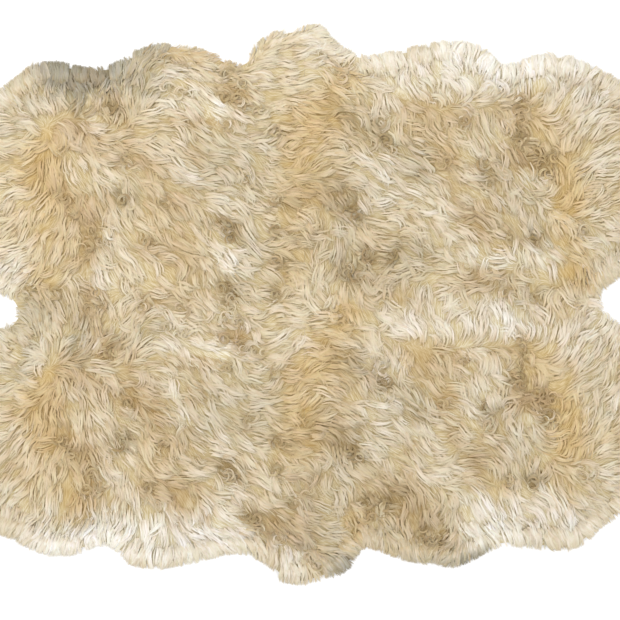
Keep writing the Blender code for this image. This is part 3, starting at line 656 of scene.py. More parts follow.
# How a strand lies in its wisp
STRAND_LENGTHS = (0.94, 0.86)   # shortest over the longest, at the rim and elsewhere
HIDDEN_SHARE = 0.32             # this much of a lock, at its root, is buried and left out
STRAY_SHARE = 0.06              # share of the strands that lie loose on top of their neighbours
STRAY_DRIFT, STRAND_DRIFT = 0.010, 0.0012   # how far a loose and a usual strand part from their wisp
STRAY_RISE = 0.0014
STRAY_WIDTH = 0.55              # width of a loose strand over a usual one's
STRAND_LIFT = 0.0002
STRAND_WIDTHS = (0.7, 1.25)     # narrowest and widest, over the usual width
STRAND_OVER, STRAND_OVER_SPREAD = 0.005, 0.0025     # how far the rim strands pass the outline
LEAST_REACH = 0.3               # share of a strand that is left even where it starts outside
FLOOR_CLEARANCE = 0.0006
WAVE_LENGTHS = (0.026, 0.044)   # shortest and longest
WAVE_SWINGS = (0.3, 1.1)
USUAL_SWING, CURLY_SWING = 0.7, 1.3
WAVE_PACE, WISP_PACE, AHEAD_PACE, ROOT_PACE = 1.6, 1.1, 1.3, 2.0   # how soon each is at its full value
WAVE_RISE = 0.35                # a wave's height over its swing
TIP_SINK, TIP_START = 0.003, 0.4    # how much the tips sink, and how late that sets in
LEAST_HEIGHT = 0.05             # least share of the usual height, where the wool is thin
ROUND_MEAN = 0.7                # usual height of a round form's top over its half-width
LOCK_ROUND, WISP_ROUND = 0.28, 0.15     # height of a lock's and a wisp's middle over its half-width
DEEP = 0.008                    # strands this far under the surface have their deepest painted shade
DEEP_START = 0.2                # depth of painted shade of the strands at the surface
LOCK_ROLL, WISP_ROLL, ROLL_SPREAD = 0.28, 0.15, 0.08    # how strands tilt to the sides of their lock
LOCK_LEAN = 0.35                # how far a strand's normal leans with its place in the lock
FACING_SHARE = 0.15             # share of the strand's own face in its normal, the rest being upward
TINT_FADE = (0.35, 0.5)         # where a strand's second tint sets in, and over which share
LOCK_HUE_SPREAD = 0.2           # how far the wisps of a lock differ in its chance value
PROFILE_PLACES = (0, 0.35, 0.8, 1.0)
PROFILE = (0.65, 1.0, 0.70, 0.15)   # widths of a strand at those places
RIM_PROFILE = (0.65, 1.0, 0.95, 0.40)

# The small curls in the rosettes
CURL_STATIONS = np.linspace(0, 1, 10)
CURL_LOCKS = 5
CURL_STRANDS = 5
CURL_SIZE = (0.009, 0.018)
CURL_SCATTER = 0.006
CURL_SWEEP = (0.6, 1.5)         # half-turns, least and most
CURL_ANGLE_SPREAD = 0.12
CURL_NARROWING = 0.45           # how much nearer to the heart a curl ends
CURL_SPREAD, CURL_GATHER = 0.004, 0.8
CURL_ARCH, CURL_SINK = 0.0055, 0.0045
CURL_ARCH_PACE = 1.2
CURL_LIFT, CURL_STRAND_LIFT = 0.0015, 0.0005
CURL_CLEARANCE = 0.001
CURL_ROLL = 0.3
CURL_WIDTHS = (0.7, 1.1)
CURL_PROFILE_PLACES = (0, 0.3, 0.8, 1.0)
CURL_PROFILE = (0.5, 1.0, 0.8, 0.2)
CURL_TINT_SCATTER = 0.008
CURL_ALONG = (0.25, 0.6)        # a curl's root colour, partly painted shade, starts as this far along a lock, and spans this much
CURL_LENGTH = 0.04
CURL_DEEP = 0.012               # the arch's height over which a curl's painted shade goes from deepest to lightest


def pelt_of(places):
    """Index in PELT_NAMES of the pelt that each place lies on."""
    right = places[:, 0] > 0
    front = places[:, 1] < long_seam_y(places[:, 0])
    return right + 2 * front


def lock_places(pelt, pitch, rng):
    """Places that the locks of one pelt cover: an even grid, each a little off, and more at the rim."""
    row_pitch = pitch * math.sqrt(3) / 2
    columns = np.arange(-math.ceil(1 / pitch), math.ceil(1 / pitch) + 1)
    rows = np.arange(-math.ceil(1 / row_pitch), math.ceil(1 / row_pitch) + 1)
    column, row = np.meshgrid(columns, rows)
    places = np.stack(((column + 0.5 * (row % 2)) * pitch, row * row_pitch), -1).reshape(-1, 2)
    shifts = [places, places + pitch / 2, places + (pitch / 2, 0)]
    layer = np.repeat(np.arange(len(shifts)), len(places))
    places = np.concatenate(shifts)
    places = places + rng.uniform(-PLACE_SCATTER, PLACE_SCATTER, places.shape) * pitch
    depth, _ = from_outline(places)
    to_seam = np.minimum(np.abs(places[:, 0]), np.abs(places[:, 1] - long_seam_y(places[:, 0])))
    edge = (layer == 1) & ((depth < FRINGE) | (to_seam < SEAM_COVER))
    wanted = (depth > COVER_DEPTH) & ((layer == 0) | edge | ((layer == 2) & (depth < OUTER_FRINGE)))
    return places[wanted & (pelt_of(places) == PELT_NAMES.index(pelt))]


def roots_of(places, length):
    """Roots from which locks of those lengths lead over the places."""
    roots = places
    step = (length * COVER_SHARE / UPSTREAM_STEPS)[:, None]
    for _ in range(UPSTREAM_STEPS):
        roots = roots - combed_way(roots) * step
    return roots


def walk(roots, length, curl, jitter):
    """Where each lock's middle runs over the floor plan, in AXIS_STEPS steps."""
    path = [roots]
    heading = turned(combed_way(roots), jitter)
    step = (length / AXIS_STEPS)[:, None]
    for count in range(AXIS_STEPS):
        share = (count + 0.5) / AXIS_STEPS
        target = turned(combed_way(path[-1]), jitter)
        heading = unit(heading * HEADING_KEPT + target * (1 - HEADING_KEPT))
        bent = turned(heading, curl * ease((share - CURL_START) / (1 - CURL_START)))
        path.append(path[-1] + bent * step)
    return np.stack(path, 1)


def shortened(path, length):
    """Lengths that let the rim locks reach just over the outline."""
    depth, _ = from_outline(path.reshape(-1, 2))
    depth = depth.reshape(path.shape[:2])
    outside = depth < 0
    crossed = outside.any(1)
    first = np.where(crossed, outside.argmax(1), AXIS_STEPS)
    row = np.arange(len(path))
    before = depth[row, np.maximum(first - 1, 0)]
    after = depth[row, first]
    part = np.where(crossed, before / np.maximum(before - after, TINY), 1.0)
    share = np.where(crossed, (first - 1 + part) / AXIS_STEPS, 1.0)
    return length * share * np.where(crossed, REACH_OVER, 1.0)


def along_path(values, share):
    """Values at shares (n, k) of the way along paths whose values are (n, AXIS_STEPS + 1, ...)."""
    at = np.clip(share, 0, 1) * AXIS_STEPS
    low = np.minimum(at.astype(int), AXIS_STEPS - 1)
    part = at - low
    row = np.arange(len(values))[:, None]
    if values.ndim == 3:
        part = part[..., None]
    return values[row, low] * (1 - part) + values[row, low + 1] * part


def ribbon_frame(middle, roll, lock_lean):
    """Direction across each flat strand, and a soft normal that leans with its place in the lock."""
    tangent = unit(np.gradient(middle, axis=1))
    level = unit(np.cross(UP, tangent))
    over = np.cross(tangent, level)
    side = level * np.cos(roll)[..., None] + over * np.sin(roll)[..., None]
    facing = np.cross(tangent, side)
    normal = facing * FACING_SHARE + UP * (1 - FACING_SHARE) - level * lock_lean[..., None]
    return side, unit(normal)


def cut_at_outline(middle, over):
    """Strands resampled so that each ends no further out than its own distance over the outline."""
    count, stations = middle.shape[:2]
    depth, _ = from_outline(middle[..., :2].reshape(-1, 2))
    depth = depth.reshape(count, stations) + over[:, None]
    outside = depth < 0
    first = np.maximum(np.where(outside.any(1), outside.argmax(1), stations - 1), 1)
    row = np.arange(count)
    before, after = depth[row, first - 1], depth[row, first]
    part = np.clip(before / np.maximum(before - after, TINY), 0, 1)
    reach = STATIONS[first - 1] + part * (STATIONS[first] - STATIONS[first - 1])
    reach = np.where(outside.any(1), np.maximum(reach, LEAST_REACH), 1.0)
    at = STATIONS[None] * reach[:, None]
    low = np.minimum(np.searchsorted(STATIONS, at, side="right") - 1, stations - 2)
    part = (at - STATIONS[low]) / (STATIONS[low + 1] - STATIONS[low])
    rows = row[:, None]
    return middle[rows, low] * (1 - part[..., None]) + middle[rows, low + 1] * part[..., None]


def roundness(aside):
    """How high a round form stands at places aside of its middle, over its usual height."""
    return np.sqrt(np.clip(1 - aside**2, 0, 1)) - ROUND_MEAN


def lay_locks(pelt, settings, rng):
    """The locks of one pelt: where they run, the wool's surface over them, their length and curl."""
    places = lock_places(pelt, settings.lock_pitch, rng)
    count = len(places)
    patch = soft_noise(places, CURLY_PATCH, seed=21) > CURLY_PATCH_START
    curly = np.clip(curl_share(places)[0] + CURLY_PATCH_SHARE * patch, 0, 1)
    full_length = settings.lock_length * rng.uniform(*LOCK_LENGTHS, count) * (1 - CURLY_LOSS * curly)
    roots = roots_of(places, full_length)
    curl = rng.normal(0, LOCK_BEND, count)
    curl = curl + np.sign(rng.uniform(-1, 1, count)) * curly * CURLY_BEND
    inside, _ = from_outline(places)
    tidy = np.exp(-((inside / TIDY_REACH) ** 2))
    tousled = (1 - comb_agreement(places)) * (1 - tidy)
    stray = np.radians(USUAL_STRAY - TIDY_STRAY * tidy + TOUSLED_STRAY * tousled)
    jitter = rng.normal(0, 1, count) * stray
    length = shortened(walk(roots, full_length, curl, jitter), full_length)
    path = walk(roots, length, curl, jitter)
    flat, grid = path.reshape(-1, 2), path.shape[:2]
    height = pile_height(path, from_outline(flat)[0].reshape(grid))
    hollow = curl_share(flat)[0].reshape(grid) ** HOLLOW_POWER
    height = height - HOLLOW_DEPTH * hollow * np.clip(height / PILE_TOP, 0, 1)
    trimmed = length < full_length * TRIMMED_SHARE
    return SimpleNamespace(
        count=count, inside=inside, path=path, height=height, length=length, curly=curly, trimmed=trimmed
    )


def draw_wisps(locks, wisps, rng):
    """The wisps in those locks: where each lies in its lock, how it runs and its tints."""
    lock = np.repeat(np.arange(locks.count), wisps)
    total = len(lock)
    reach = np.sqrt(rng.uniform(0, 1, total))
    around = rng.uniform(0, 2 * math.pi, total)
    length = rng.uniform(*WISP_LENGTHS, total)
    return SimpleNamespace(
        lock=lock,
        total=total,
        aside=reach * np.cos(around),
        ahead=reach * np.sin(around),
        length=np.where(locks.trimmed[lock], 1 - (1 - length) * WISP_TRIM, length),
        veer=rng.normal(0, WISP_VEER, total),
        hook=rng.normal(0, WISP_VEER, total),
        phase=rng.normal(0, WISP_PHASE, total),
        lift=rng.normal(0, WISP_LIFT, total),
        tints=[tint_shares(locks.path[lock, step], rng) for step in TINT_STEPS],
    )


def lay_strands(locks, wisps, settings, rng):
    """The strands in those wisps: their middle lines and how deep each lies in the wool, which sets its
    painted shade.
    """
    wisp = np.repeat(np.arange(wisps.total), settings.strands)
    lock = wisps.lock[wisp]
    total = len(lock)
    trimmed = locks.trimmed[lock]
    reach = np.sqrt(rng.uniform(0, 1, total))
    around = rng.uniform(0, 2 * math.pi, total)
    rim_length, usual_length = (rng.uniform(shortest, 1.0, total) for shortest in STRAND_LENGTHS)
    own_length = wisps.length[wisp] * np.where(trimmed, rim_length, usual_length)
    share = HIDDEN_SHARE + STATIONS[None] * (own_length - HIDDEN_SHARE)[:, None]
    loose = rng.uniform(0, 1, total) < STRAY_SHARE
    plan = along_path(locks.path[lock], share)
    surface = along_path(locks.height[lock], share)
    way = unit(np.gradient(plan, axis=1))
    left = np.stack((-way[..., 1], way[..., 0]), -1)

    radius = (settings.lock_radius * rng.uniform(*LOCK_WIDTHS, locks.count))[lock][:, None]
    fine = settings.wisp_radius
    at_rim = trimmed.astype(float)[:, None]
    gather = 1 - (LOCK_GATHER - LOCK_FAN * at_rim) * ease(share)
    close = 1 - (WISP_GATHER - WISP_FAN * at_rim) * ease(share * WISP_PACE)
    wisp_aside = wisps.aside[wisp][:, None]
    aside = (reach * np.cos(around))[:, None]
    metres = share * locks.length[lock][:, None]
    wave_length = rng.uniform(*WAVE_LENGTHS, locks.count)[lock][:, None]
    phase = (rng.uniform(0, 2 * math.pi, locks.count)[lock] + wisps.phase[wisp])[:, None]
    turns = 2 * math.pi * metres / wave_length + phase
    swing = settings.crimp * rng.uniform(*WAVE_SWINGS, locks.count)
    swing = swing * (USUAL_SWING + CURLY_SWING * locks.curly)
    swing = swing[lock][:, None] * ease(share * WAVE_PACE)
    veer = wisps.veer[wisp][:, None] * share + wisps.hook[wisp][:, None] * share**3
    drift = (rng.normal(0, 1, total) * np.where(loose, STRAY_DRIFT, STRAND_DRIFT))[:, None] * ease(share)
    offset = wisp_aside * radius * gather + aside * fine * close + np.sin(turns) * swing + veer + drift
    ahead = wisps.ahead[wisp][:, None] * radius * (1 - ease(share * AHEAD_PACE))
    plan = plan + left * offset[..., None] + way * ahead[..., None]

    lift = rng.normal(0, LOCK_LIFT, locks.count)[lock][:, None] + wisps.lift[wisp][:, None] - LOCK_SINK
    sink = settings.root_depth * (1 - ease(share * ROOT_PACE))
    sink = sink + TIP_SINK * ease((1 + TIP_START) * share - TIP_START)
    crown = roundness(wisp_aside) * radius * LOCK_ROUND
    # painted shade: the deeper a strand lies under its neighbours, the darker and warmer its colour
    deep = np.clip((sink - crown - lift) / DEEP + DEEP_START, 0, 1)
    crown = crown + roundness(aside) * fine * close * WISP_ROUND
    ripple = np.cos(turns) * swing * WAVE_RISE
    low = np.clip(surface / PILE_TOP, LEAST_HEIGHT, 1)
    z = surface - sink * low + (crown + lift + ripple) * low
    z = z + rng.normal(0, STRAND_LIFT, total)[:, None] * low
    z = np.maximum(z + loose[:, None] * STRAY_RISE * ease(share) * low, FLOOR_CLEARANCE)
    return SimpleNamespace(
        wisp=wisp,
        lock=lock,
        total=total,
        trimmed=trimmed,
        loose=loose,
        share=share,
        wisp_aside=wisp_aside,
        aside=aside,
        metres=metres,
        deep=deep,
        middle=np.concatenate((plan, z[..., None]), -1),
    )


def grow_locks(pelt, settings):
    """All strands of one pelt as arrays: middle line, side, half-width and what colours them."""
    rng = np.random.default_rng(40 + PELT_NAMES.index(pelt))
    locks = lay_locks(pelt, settings, rng)
    wisps = draw_wisps(locks, settings.wisps, rng)
    grown = lay_strands(locks, wisps, settings, rng)
    total, middle, share = grown.total, grown.middle, grown.share
    at_rim = np.flatnonzero(grown.trimmed)
    over = rng.normal(STRAND_OVER, STRAND_OVER_SPREAD, len(at_rim))
    middle[at_rim] = cut_at_outline(middle[at_rim], over)
    roll = -LOCK_ROLL * grown.wisp_aside - WISP_ROLL * grown.aside
    roll = roll + rng.normal(0, ROLL_SPREAD, total)[:, None]
    roll = roll + rng.normal(0, ROLL_SPREAD, total)[:, None] * share
    side, normal = ribbon_frame(middle, roll, lock_lean=-LOCK_LEAN * grown.wisp_aside)
    fade_start, fade_width = TINT_FADE
    second = ease((share - fade_start) / fade_width)[..., None]
    low_tint, high_tint = (tint[grown.wisp][:, None] for tint in wisps.tints)
    usual, rim = (np.interp(STATIONS, PROFILE_PLACES, widths) for widths in (PROFILE, RIM_PROFILE))
    profile = np.where(grown.trimmed[:, None], rim, usual)
    half = settings.strand_width / 2 * rng.uniform(*STRAND_WIDTHS, total)[:, None] * profile
    half = half * np.where(grown.loose, STRAY_WIDTH, 1.0)[:, None]
    seed = rng.uniform(0, 1, total)
    lock_seed = rng.uniform(0, 1, locks.count)[grown.lock]
    lock_seed = lock_seed + rng.normal(0, LOCK_HUE_SPREAD, wisps.total)[grown.wisp]
    return {
        "middle": middle,
        "side": side,
        "half": half,
        "along": share,
        "seed": seed,
        "lock_seed": np.clip(lock_seed, 0, 1),
        "tint": low_tint * (1 - second) + high_tint * second,
        "normal": normal,
        "inside": locks.inside[grown.lock],
        "length": grown.metres,
        "deep": grown.deep,
    }


def grow_curls(pelt, settings):
    """Strands that wind into the hearts of one pelt's rosettes, as arrays like those of its locks."""
    rng = np.random.default_rng(70 + PELT_NAMES.index(pelt))
    hearts = CURL_ROWS[pelt_of(CURL_ROWS) == PELT_NAMES.index(pelt)]
    heart = np.repeat(np.arange(len(hearts)), CURL_LOCKS)
    count = len(heart)
    centre = hearts[heart] + rng.normal(0, CURL_SCATTER, (count, 2))
    size = rng.uniform(*CURL_SIZE, count)
    spin = np.where(rng.uniform(0, 1, count) < 0.5, -1.0, 1.0)
    sweep = rng.uniform(*CURL_SWEEP, count) * math.pi * spin
    start = rng.uniform(0, 2 * math.pi, count)
    lift = rng.normal(0, CURL_LIFT, count)
    lock = np.repeat(np.arange(count), CURL_STRANDS)
    total = len(lock)
    share = np.broadcast_to(CURL_STATIONS[None], (total, len(CURL_STATIONS)))
    angle = start[lock][:, None] + sweep[lock][:, None] * share
    angle = angle + rng.normal(0, CURL_ANGLE_SPREAD, total)[:, None]
    aside = rng.uniform(-1, 1, total)[:, None] * CURL_SPREAD * (1 - CURL_GATHER * share)
    radius = size[lock][:, None] * (1 - CURL_NARROWING * share) + aside
    plan = centre[lock][:, None] + np.stack((np.cos(angle), np.sin(angle)), -1) * radius[..., None]
    flat = plan.reshape(-1, 2)
    surface = pile_height(flat, from_outline(flat)[0]).reshape(share.shape)
    arch = CURL_ARCH * np.sin(math.pi * np.clip(share * CURL_ARCH_PACE, 0, 1)) - CURL_SINK
    z = surface + arch + (lift[lock] + rng.normal(0, CURL_STRAND_LIFT, total))[:, None]
    middle = np.concatenate((plan, np.maximum(z, CURL_CLEARANCE)[..., None]), -1)
    roll = rng.normal(0, CURL_ROLL, total)[:, None] + 0 * share
    side, normal = ribbon_frame(middle, roll, lock_lean=0 * share)
    profile = np.interp(CURL_STATIONS, CURL_PROFILE_PLACES, CURL_PROFILE)
    tint = tint_shares(centre + rng.normal(0, CURL_TINT_SCATTER, centre.shape), rng)[lock]
    along_start, along_span = CURL_ALONG
    return {
        "middle": middle,
        "side": side,
        "half": settings.strand_width / 2 * rng.uniform(*CURL_WIDTHS, total)[:, None] * profile[None],
        "along": along_start + along_span * share,
        "seed": rng.uniform(0, 1, total),
        "lock_seed": rng.uniform(0, 1, count)[lock],
        "tint": np.broadcast_to(tint[:, None], (*share.shape, len(TINT_NAMES))),
        "normal": normal,
        "length": share * CURL_LENGTH,
        # painted shade: a curl is darker where its arch dips low
        "deep": np.clip(0.5 - arch / CURL_DEEP, 0, 1),
    }


CELL_INSET = (0.16, 0.06)       # free margin round a strand in its cell of the map, across and along
CELL_SHAPE = 4                  # there are this many times more columns of cells than rows


def corner_rows(stations):
    """Vertex rows of one strand's faces: a strip of quads and a pointed tip."""
    quads = [(2 * k, 2 * k + 1, 2 * k + 3, 2 * k + 2) for k in range(stations - 2)]
    tip = (2 * stations - 4, 2 * stations - 3, 2 * stations - 2)
    return quads, tip


def strand_mesh(name, grown, chosen):
    """One joined mesh of the chosen strands, with a small cell of its own on the map for each."""
    middle, side = grown["middle"][chosen], grown["side"][chosen]
    half = grown["half"][chosen][..., None]
    total, stations = middle.shape[:2]
    pairs = np.stack((middle + side * half, middle - side * half), 2)[:, :-1].reshape(total, -1, 3)
    verts = np.concatenate((pairs, middle[:, -1:]), 1)
    per_strand = verts.shape[1]
    quads, tip = corner_rows(stations)
    pattern = np.array([corner for quad in quads for corner in quad] + list(tip))
    corners = pattern[None] + np.arange(total)[:, None] * per_strand
    starts = 4 * np.arange(stations - 1)[None] + np.arange(total)[:, None] * len(pattern)

    mesh = fresh(bpy.data.meshes, name)
    mesh.vertices.add(total * per_strand)
    mesh.loops.add(corners.size)
    mesh.polygons.add(starts.size)
    for part, key, values, kind in (
        (mesh.vertices, "co", verts, np.float32),
        (mesh.loops, "vertex_index", corners, np.int32),
        (mesh.polygons, "loop_start", starts, np.int32),
    ):
        part.foreach_set(key, values.astype(kind).ravel())
    mesh.update(calc_edges=True)
    mesh.shade_smooth()

    across = np.array([0.0, 1.0] * (stations - 1) + [0.5])
    level = np.repeat(np.arange(stations), 2)[:per_strand]
    cell_rows = math.ceil(math.sqrt(total / CELL_SHAPE))
    cell_columns = math.ceil(total / cell_rows)
    column, row = np.arange(total) % cell_columns, np.arange(total) // cell_columns
    inset_u, inset_v = CELL_INSET
    u = column[:, None] + inset_u + (1 - 2 * inset_u) * across[pattern][None]
    v = row[:, None] + inset_v + (1 - 2 * inset_v) * (level / (stations - 1))[pattern][None]
    along_m = grown["length"][chosen][:, level][:, pattern]
    across_m = np.broadcast_to(across[pattern][None], along_m.shape)
    add_map(mesh, "OFBake", u / cell_columns, v / cell_rows)
    add_map(mesh, "fibre", across_m, along_m)

    for title in ("along", "deep"):
        add_values(mesh, title, grown[title][chosen][:, level])
    for title in ("seed", "lock_seed"):
        add_values(mesh, title, np.broadcast_to(grown[title][chosen][:, None], (total, per_strand)))
    for index, tint in enumerate(TINT_NAMES):
        add_values(mesh, tint, grown["tint"][chosen][..., index][:, level])
    normals = grown["normal"][chosen][:, level].reshape(-1, 3)
    mesh.normals_split_custom_set_from_vertices(normals.astype(np.float32))
    return mesh


def fresh(items, name, *kind):
    """A new mesh, object, material or the like, in place of an older one of that name."""
    old = items.get(name)
    if old:
        items.remove(old)
    return items.new(name, *kind)


def mesh_of(shape, name):
    """The finished mesh of a bmesh, which is freed."""
    mesh = fresh(bpy.data.meshes, name)
    shape.to_mesh(mesh)
    shape.free()
    return mesh


def add_map(mesh, title, u, v):
    """Lay the corners of a mesh on a map of its own."""
    layer = mesh.uv_layers.new(name=title)
    layer.uv.foreach_set("vector", np.stack((u, v), -1).astype(np.float32).ravel())


def add_values(mesh, title, values):
    """Give each corner point of a mesh a value that its material reads."""
    layer = mesh.attributes.new(title, "FLOAT", "POINT")
    layer.data.foreach_set("value", values.astype(np.float32).ravel())


def placed(name, data):
    """An object with that mesh, light or camera, in the scene."""
    item = fresh(bpy.data.objects, name, data)
    bpy.context.scene.collection.objects.link(item)
    return item


def new_piece(mesh, material):
    """A finished piece at the origin that rides on the rug."""
    piece = placed(mesh.name, mesh)
    mesh.materials.append(material)
    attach(piece, BODY)
    return piece


# ---------------------------------------------------------------- wool bed

BED_SINK = 0.0068               # the bed lies this far under the wool's surface
BED_EDGE = 0.0006               # height of its underside past the skin's edge
BED_INSET = 0.008               # from the wool tips in to its rim
BED_UNDER = 0.001               # its underside reaches this far past the skin's edge
BED_SHARP = math.radians(50)
BED_POINTS = 110
BED_EASING = 2                  # times that its rim is smoothed
BED_RIM_SINK = 0.6              # share of its sink at the rim
BED_SINK_RISE = 4               # how fast the sink grows to its whole from there
BED_PEAK = 0.0005               # rise of its middle over the last ring
BED_MERGE = 0.00005
SEAM_SHARES = tuple(np.linspace(0.04, 0.96, 22))
BED_RINGS = tuple(np.linspace(0.97, 0.05, 28))


def moved_line(pelt, line, distance):
    """A line along the free rim of a pelt moved outward, its ends on the sewn edges."""
    side_x, side_y = (math.copysign(1.0, value) for value in PELT_MIDDLE[pelt])
    moved = []
    for before, point, after in zip(line, line[1:], line[2:]):
        along = (after - before).normalized()
        moved.append(point + Vector((-along.y, along.x)) * side_x * side_y * distance)
    first = Vector((side_x * GAP / 2, line[0].y + side_y * distance))
    last_x = line[-1].x + side_x * distance
    return [first] + moved + [Vector((last_x, long_seam_y(last_x) + side_y * GAP / 2))]


def eased_rim(pelt, inset):
    """The free rim of a pelt, moved inward and smoothed."""
    line = moved_line(pelt, even_points(TIP_LINES[pelt], BED_POINTS), -inset)
    for _ in range(BED_EASING):
        line[1:-1] = [(a + 2 * b + c) / 4 for a, b, c in zip(line, line[1:], line[2:])]
    return line


def closed_outline(pelt, line):
    """The rim, the long seam, the rug's middle and the cross seam."""
    side_x, side_y = (math.copysign(1.0, value) for value in PELT_MIDDLE[pelt])
    x = side_x * GAP / 2
    centre = Vector((x, long_seam_y(x) + side_y * GAP / 2))
    along_rug = [line[-1].lerp(centre, share) for share in SEAM_SHARES]
    across_rug = [centre.lerp(line[0], share) for share in SEAM_SHARES]
    return line + along_rug + [centre] + across_rug


def next_ring(shape, cap, outline, heights):
    """Extrude the open face of a growing form and lay its corners on the next outline."""
    region = [cap, *cap.edges, *cap.verts]
    made = bmesh.ops.extrude_face_region(shape, geom=region)["geom"]
    cap = next(part for part in made if isinstance(part, bmesh.types.BMFace))
    for loop, place, z in zip(cap.loops, outline, heights):
        loop.vert.co = (place.x, place.y, z)
    return cap


def heights_of(outline, sink):
    """Height of the wool over an outline's points, less a sink, and never into the skin."""
    places = np.array(outline)
    depth, _ = from_outline(places)
    return np.maximum(pile_height(places, depth) - sink, HIDE_THICKNESS + 2 * GAP)


def bed_shape(pelt):
    """The dense wool under the locks of one pelt, from its underside over the rim to the top."""
    under = closed_outline(pelt, moved_line(pelt, eased_rim(pelt, HIDE_INSET), BED_UNDER))
    rim = closed_outline(pelt, eased_rim(pelt, BED_INSET))
    shape = bmesh.new()
    floor_z = HIDE_THICKNESS + GAP
    cap = shape.faces.new([shape.verts.new((p.x, p.y, floor_z)) for p in under])
    rim_z = [BED_EDGE if index < BED_POINTS + 1 else floor_z for index in range(len(rim))]
    cap = next_ring(shape, cap, rim, rim_z)
    cap = next_ring(shape, cap, rim, heights_of(rim, BED_SINK * BED_RIM_SINK))
    middle = Vector(PELT_MIDDLE[pelt])
    for share in BED_RINGS:
        ring = [middle.lerp(point, share) for point in rim]
        sink = BED_SINK * min(1.0, BED_RIM_SINK + (1 - share) * BED_SINK_RISE)
        cap = next_ring(shape, cap, ring, heights_of(ring, sink))
    peak = bmesh.ops.poke(shape, faces=[cap])["verts"][0]
    peak.co.z += BED_PEAK
    bmesh.ops.remove_doubles(shape, verts=shape.verts, dist=BED_MERGE)
    bmesh.ops.recalc_face_normals(shape, faces=shape.faces)
    return shape


# ---------------------------------------------------------------- sewing

STITCH_SLANT = math.radians(22)
STITCH_FACES = 6                # sides of the thread
STITCH_LIFT = 0.0003            # how far it stands out under the skins


def seams():
    """Start and end of each seam between the skins."""
    rim = HIDE_INSET + 2 * HIDE_THICKNESS
    back, front = PELT_RIM["back_left"][0][1] - rim, PELT_RIM["front_left"][0][1] + rim
    left, right = LEFT_NOTCH.x + rim, RIGHT_NOTCH.x - rim
    yield Vector((0, front)), Vector((0, back))
    yield Vector((left, long_seam_y(left))), Vector((right, long_seam_y(right)))


def stitch_shape(settings):
    """Slanting stitches across both seams, one joined mesh."""
    shape = bmesh.new()
    radius = settings.thread_width / 2
    flat = Matrix.Diagonal((STITCH_LIFT / radius, 1, 1, 1))
    for start, end in seams():
        run = end - start
        count = int(run.length / settings.stitch_pitch)
        heading = math.atan2(run.y, run.x)
        for step in range(count):
            place = start.lerp(end, (step + 0.5) / count)
            slant = STITCH_SLANT if step % 2 else -STITCH_SLANT
            turn = Matrix.Rotation(heading + math.pi / 2 + slant, 4, "Z")
            lay = Matrix.Rotation(math.pi / 2, 4, "Y")
            bmesh.ops.create_cone(
                shape,
                cap_ends=True,
                segments=STITCH_FACES,
                radius1=radius,
                radius2=radius,
                depth=settings.stitch_length,
                matrix=Matrix.Translation((place.x, place.y, 0)) @ turn @ lay @ flat,
            )
    return shape


# ---------------------------------------------------------------- materials


class Nodes:
    """Short ways to add nodes to a tree and to link them."""

    def __init__(self, tree):
        self.tree = tree

    def add(self, kind, **values):
        node = self.tree.nodes.new(kind)
        for name, value in values.items():
            setattr(node, name, value)
        return node

    def link(self, start, end):
        self.tree.links.new(start, end)

    def feed(self, socket, value):
        """Link a socket to another, or set it to a number or a colour."""
        if isinstance(value, bpy.types.NodeSocket):
            self.link(value, socket)
        elif socket.type == "RGBA":
            socket.default_value = (*value, 1.0)
        else:
            socket.default_value = value

    def math(self, operation, first, second=0.0):
        node = self.add("ShaderNodeMath", operation=operation)
        self.feed(node.inputs[0], first)
        self.feed(node.inputs[1], second)
        return node.outputs[0]

    def mix(self, share, first, second, blend="MIX"):
        node = self.add("ShaderNodeMix", data_type="RGBA", blend_type=blend)
        factor_input, first_input, second_input, colour_output = 0, 6, 7, 2
        self.feed(node.inputs[factor_input], share)
        self.feed(node.inputs[first_input], first)
        self.feed(node.inputs[second_input], second)
        return node.outputs[colour_output]

    def span(self, value, source, target, smooth=False):
        """Carry the range of values called source over to the one called target."""
        node = self.add("ShaderNodeMapRange", interpolation_type="SMOOTHSTEP" if smooth else "LINEAR")
        self.feed(node.inputs["Value"], value)
        for name, number in zip(("From Min", "From Max", "To Min", "To Max"), (*source, *target)):
            node.inputs[name].default_value = number
        return node.outputs["Result"]

    def noise(self, place, scale=1.0, detail=2.0, **values):
        node = self.add("ShaderNodeTexNoise", **values)
        self.link(place, node.inputs["Vector"])
        node.inputs["Scale"].default_value = scale
        node.inputs["Detail"].default_value = detail
        return node.outputs["Fac"]

    def attribute(self, name):
        return self.add("ShaderNodeAttribute", attribute_name=name).outputs["Fac"]

    def object_place(self):
        return self.add("ShaderNodeTexCoord").outputs["Object"]

    def group(self, name, make, **values):
        """Place a shared group, made the first time that it is asked for, and feed its inputs."""
        tree = bpy.data.node_groups.get(name) or make(name)
        node = self.add("ShaderNodeGroup", node_tree=tree)
        for title, value in values.items():
            self.feed(node.inputs[title.replace("_", " ").title()], value)
        return node.outputs

    def shaded(self, colour, shade):
        return self.group("warm_shade", warm_shade_group, color=colour, shade=shade)["Color"]

    def bump(self, shader, height, strength, distance):
        """Raise a shader's surface by a height."""
        node = self.add("ShaderNodeBump")
        node.inputs["Strength"].default_value = strength
        node.inputs["Distance"].default_value = distance
        self.link(height, node.inputs["Height"])
        self.link(node.outputs["Normal"], shader.inputs["Normal"])


def new_group(name, inputs, outputs):
    """An empty node group with named inputs and outputs."""
    group = bpy.data.node_groups.new(name, "ShaderNodeTree")
    for title, kind in inputs:
        group.interface.new_socket(title, in_out="INPUT", socket_type="NodeSocket" + kind)
    for title, kind in outputs:
        group.interface.new_socket(title, in_out="OUTPUT", socket_type="NodeSocket" + kind)
    nodes = Nodes(group)
    start = nodes.add("NodeGroupInput")
    end = nodes.add("NodeGroupOutput")
    return nodes, start.outputs, end.inputs, group


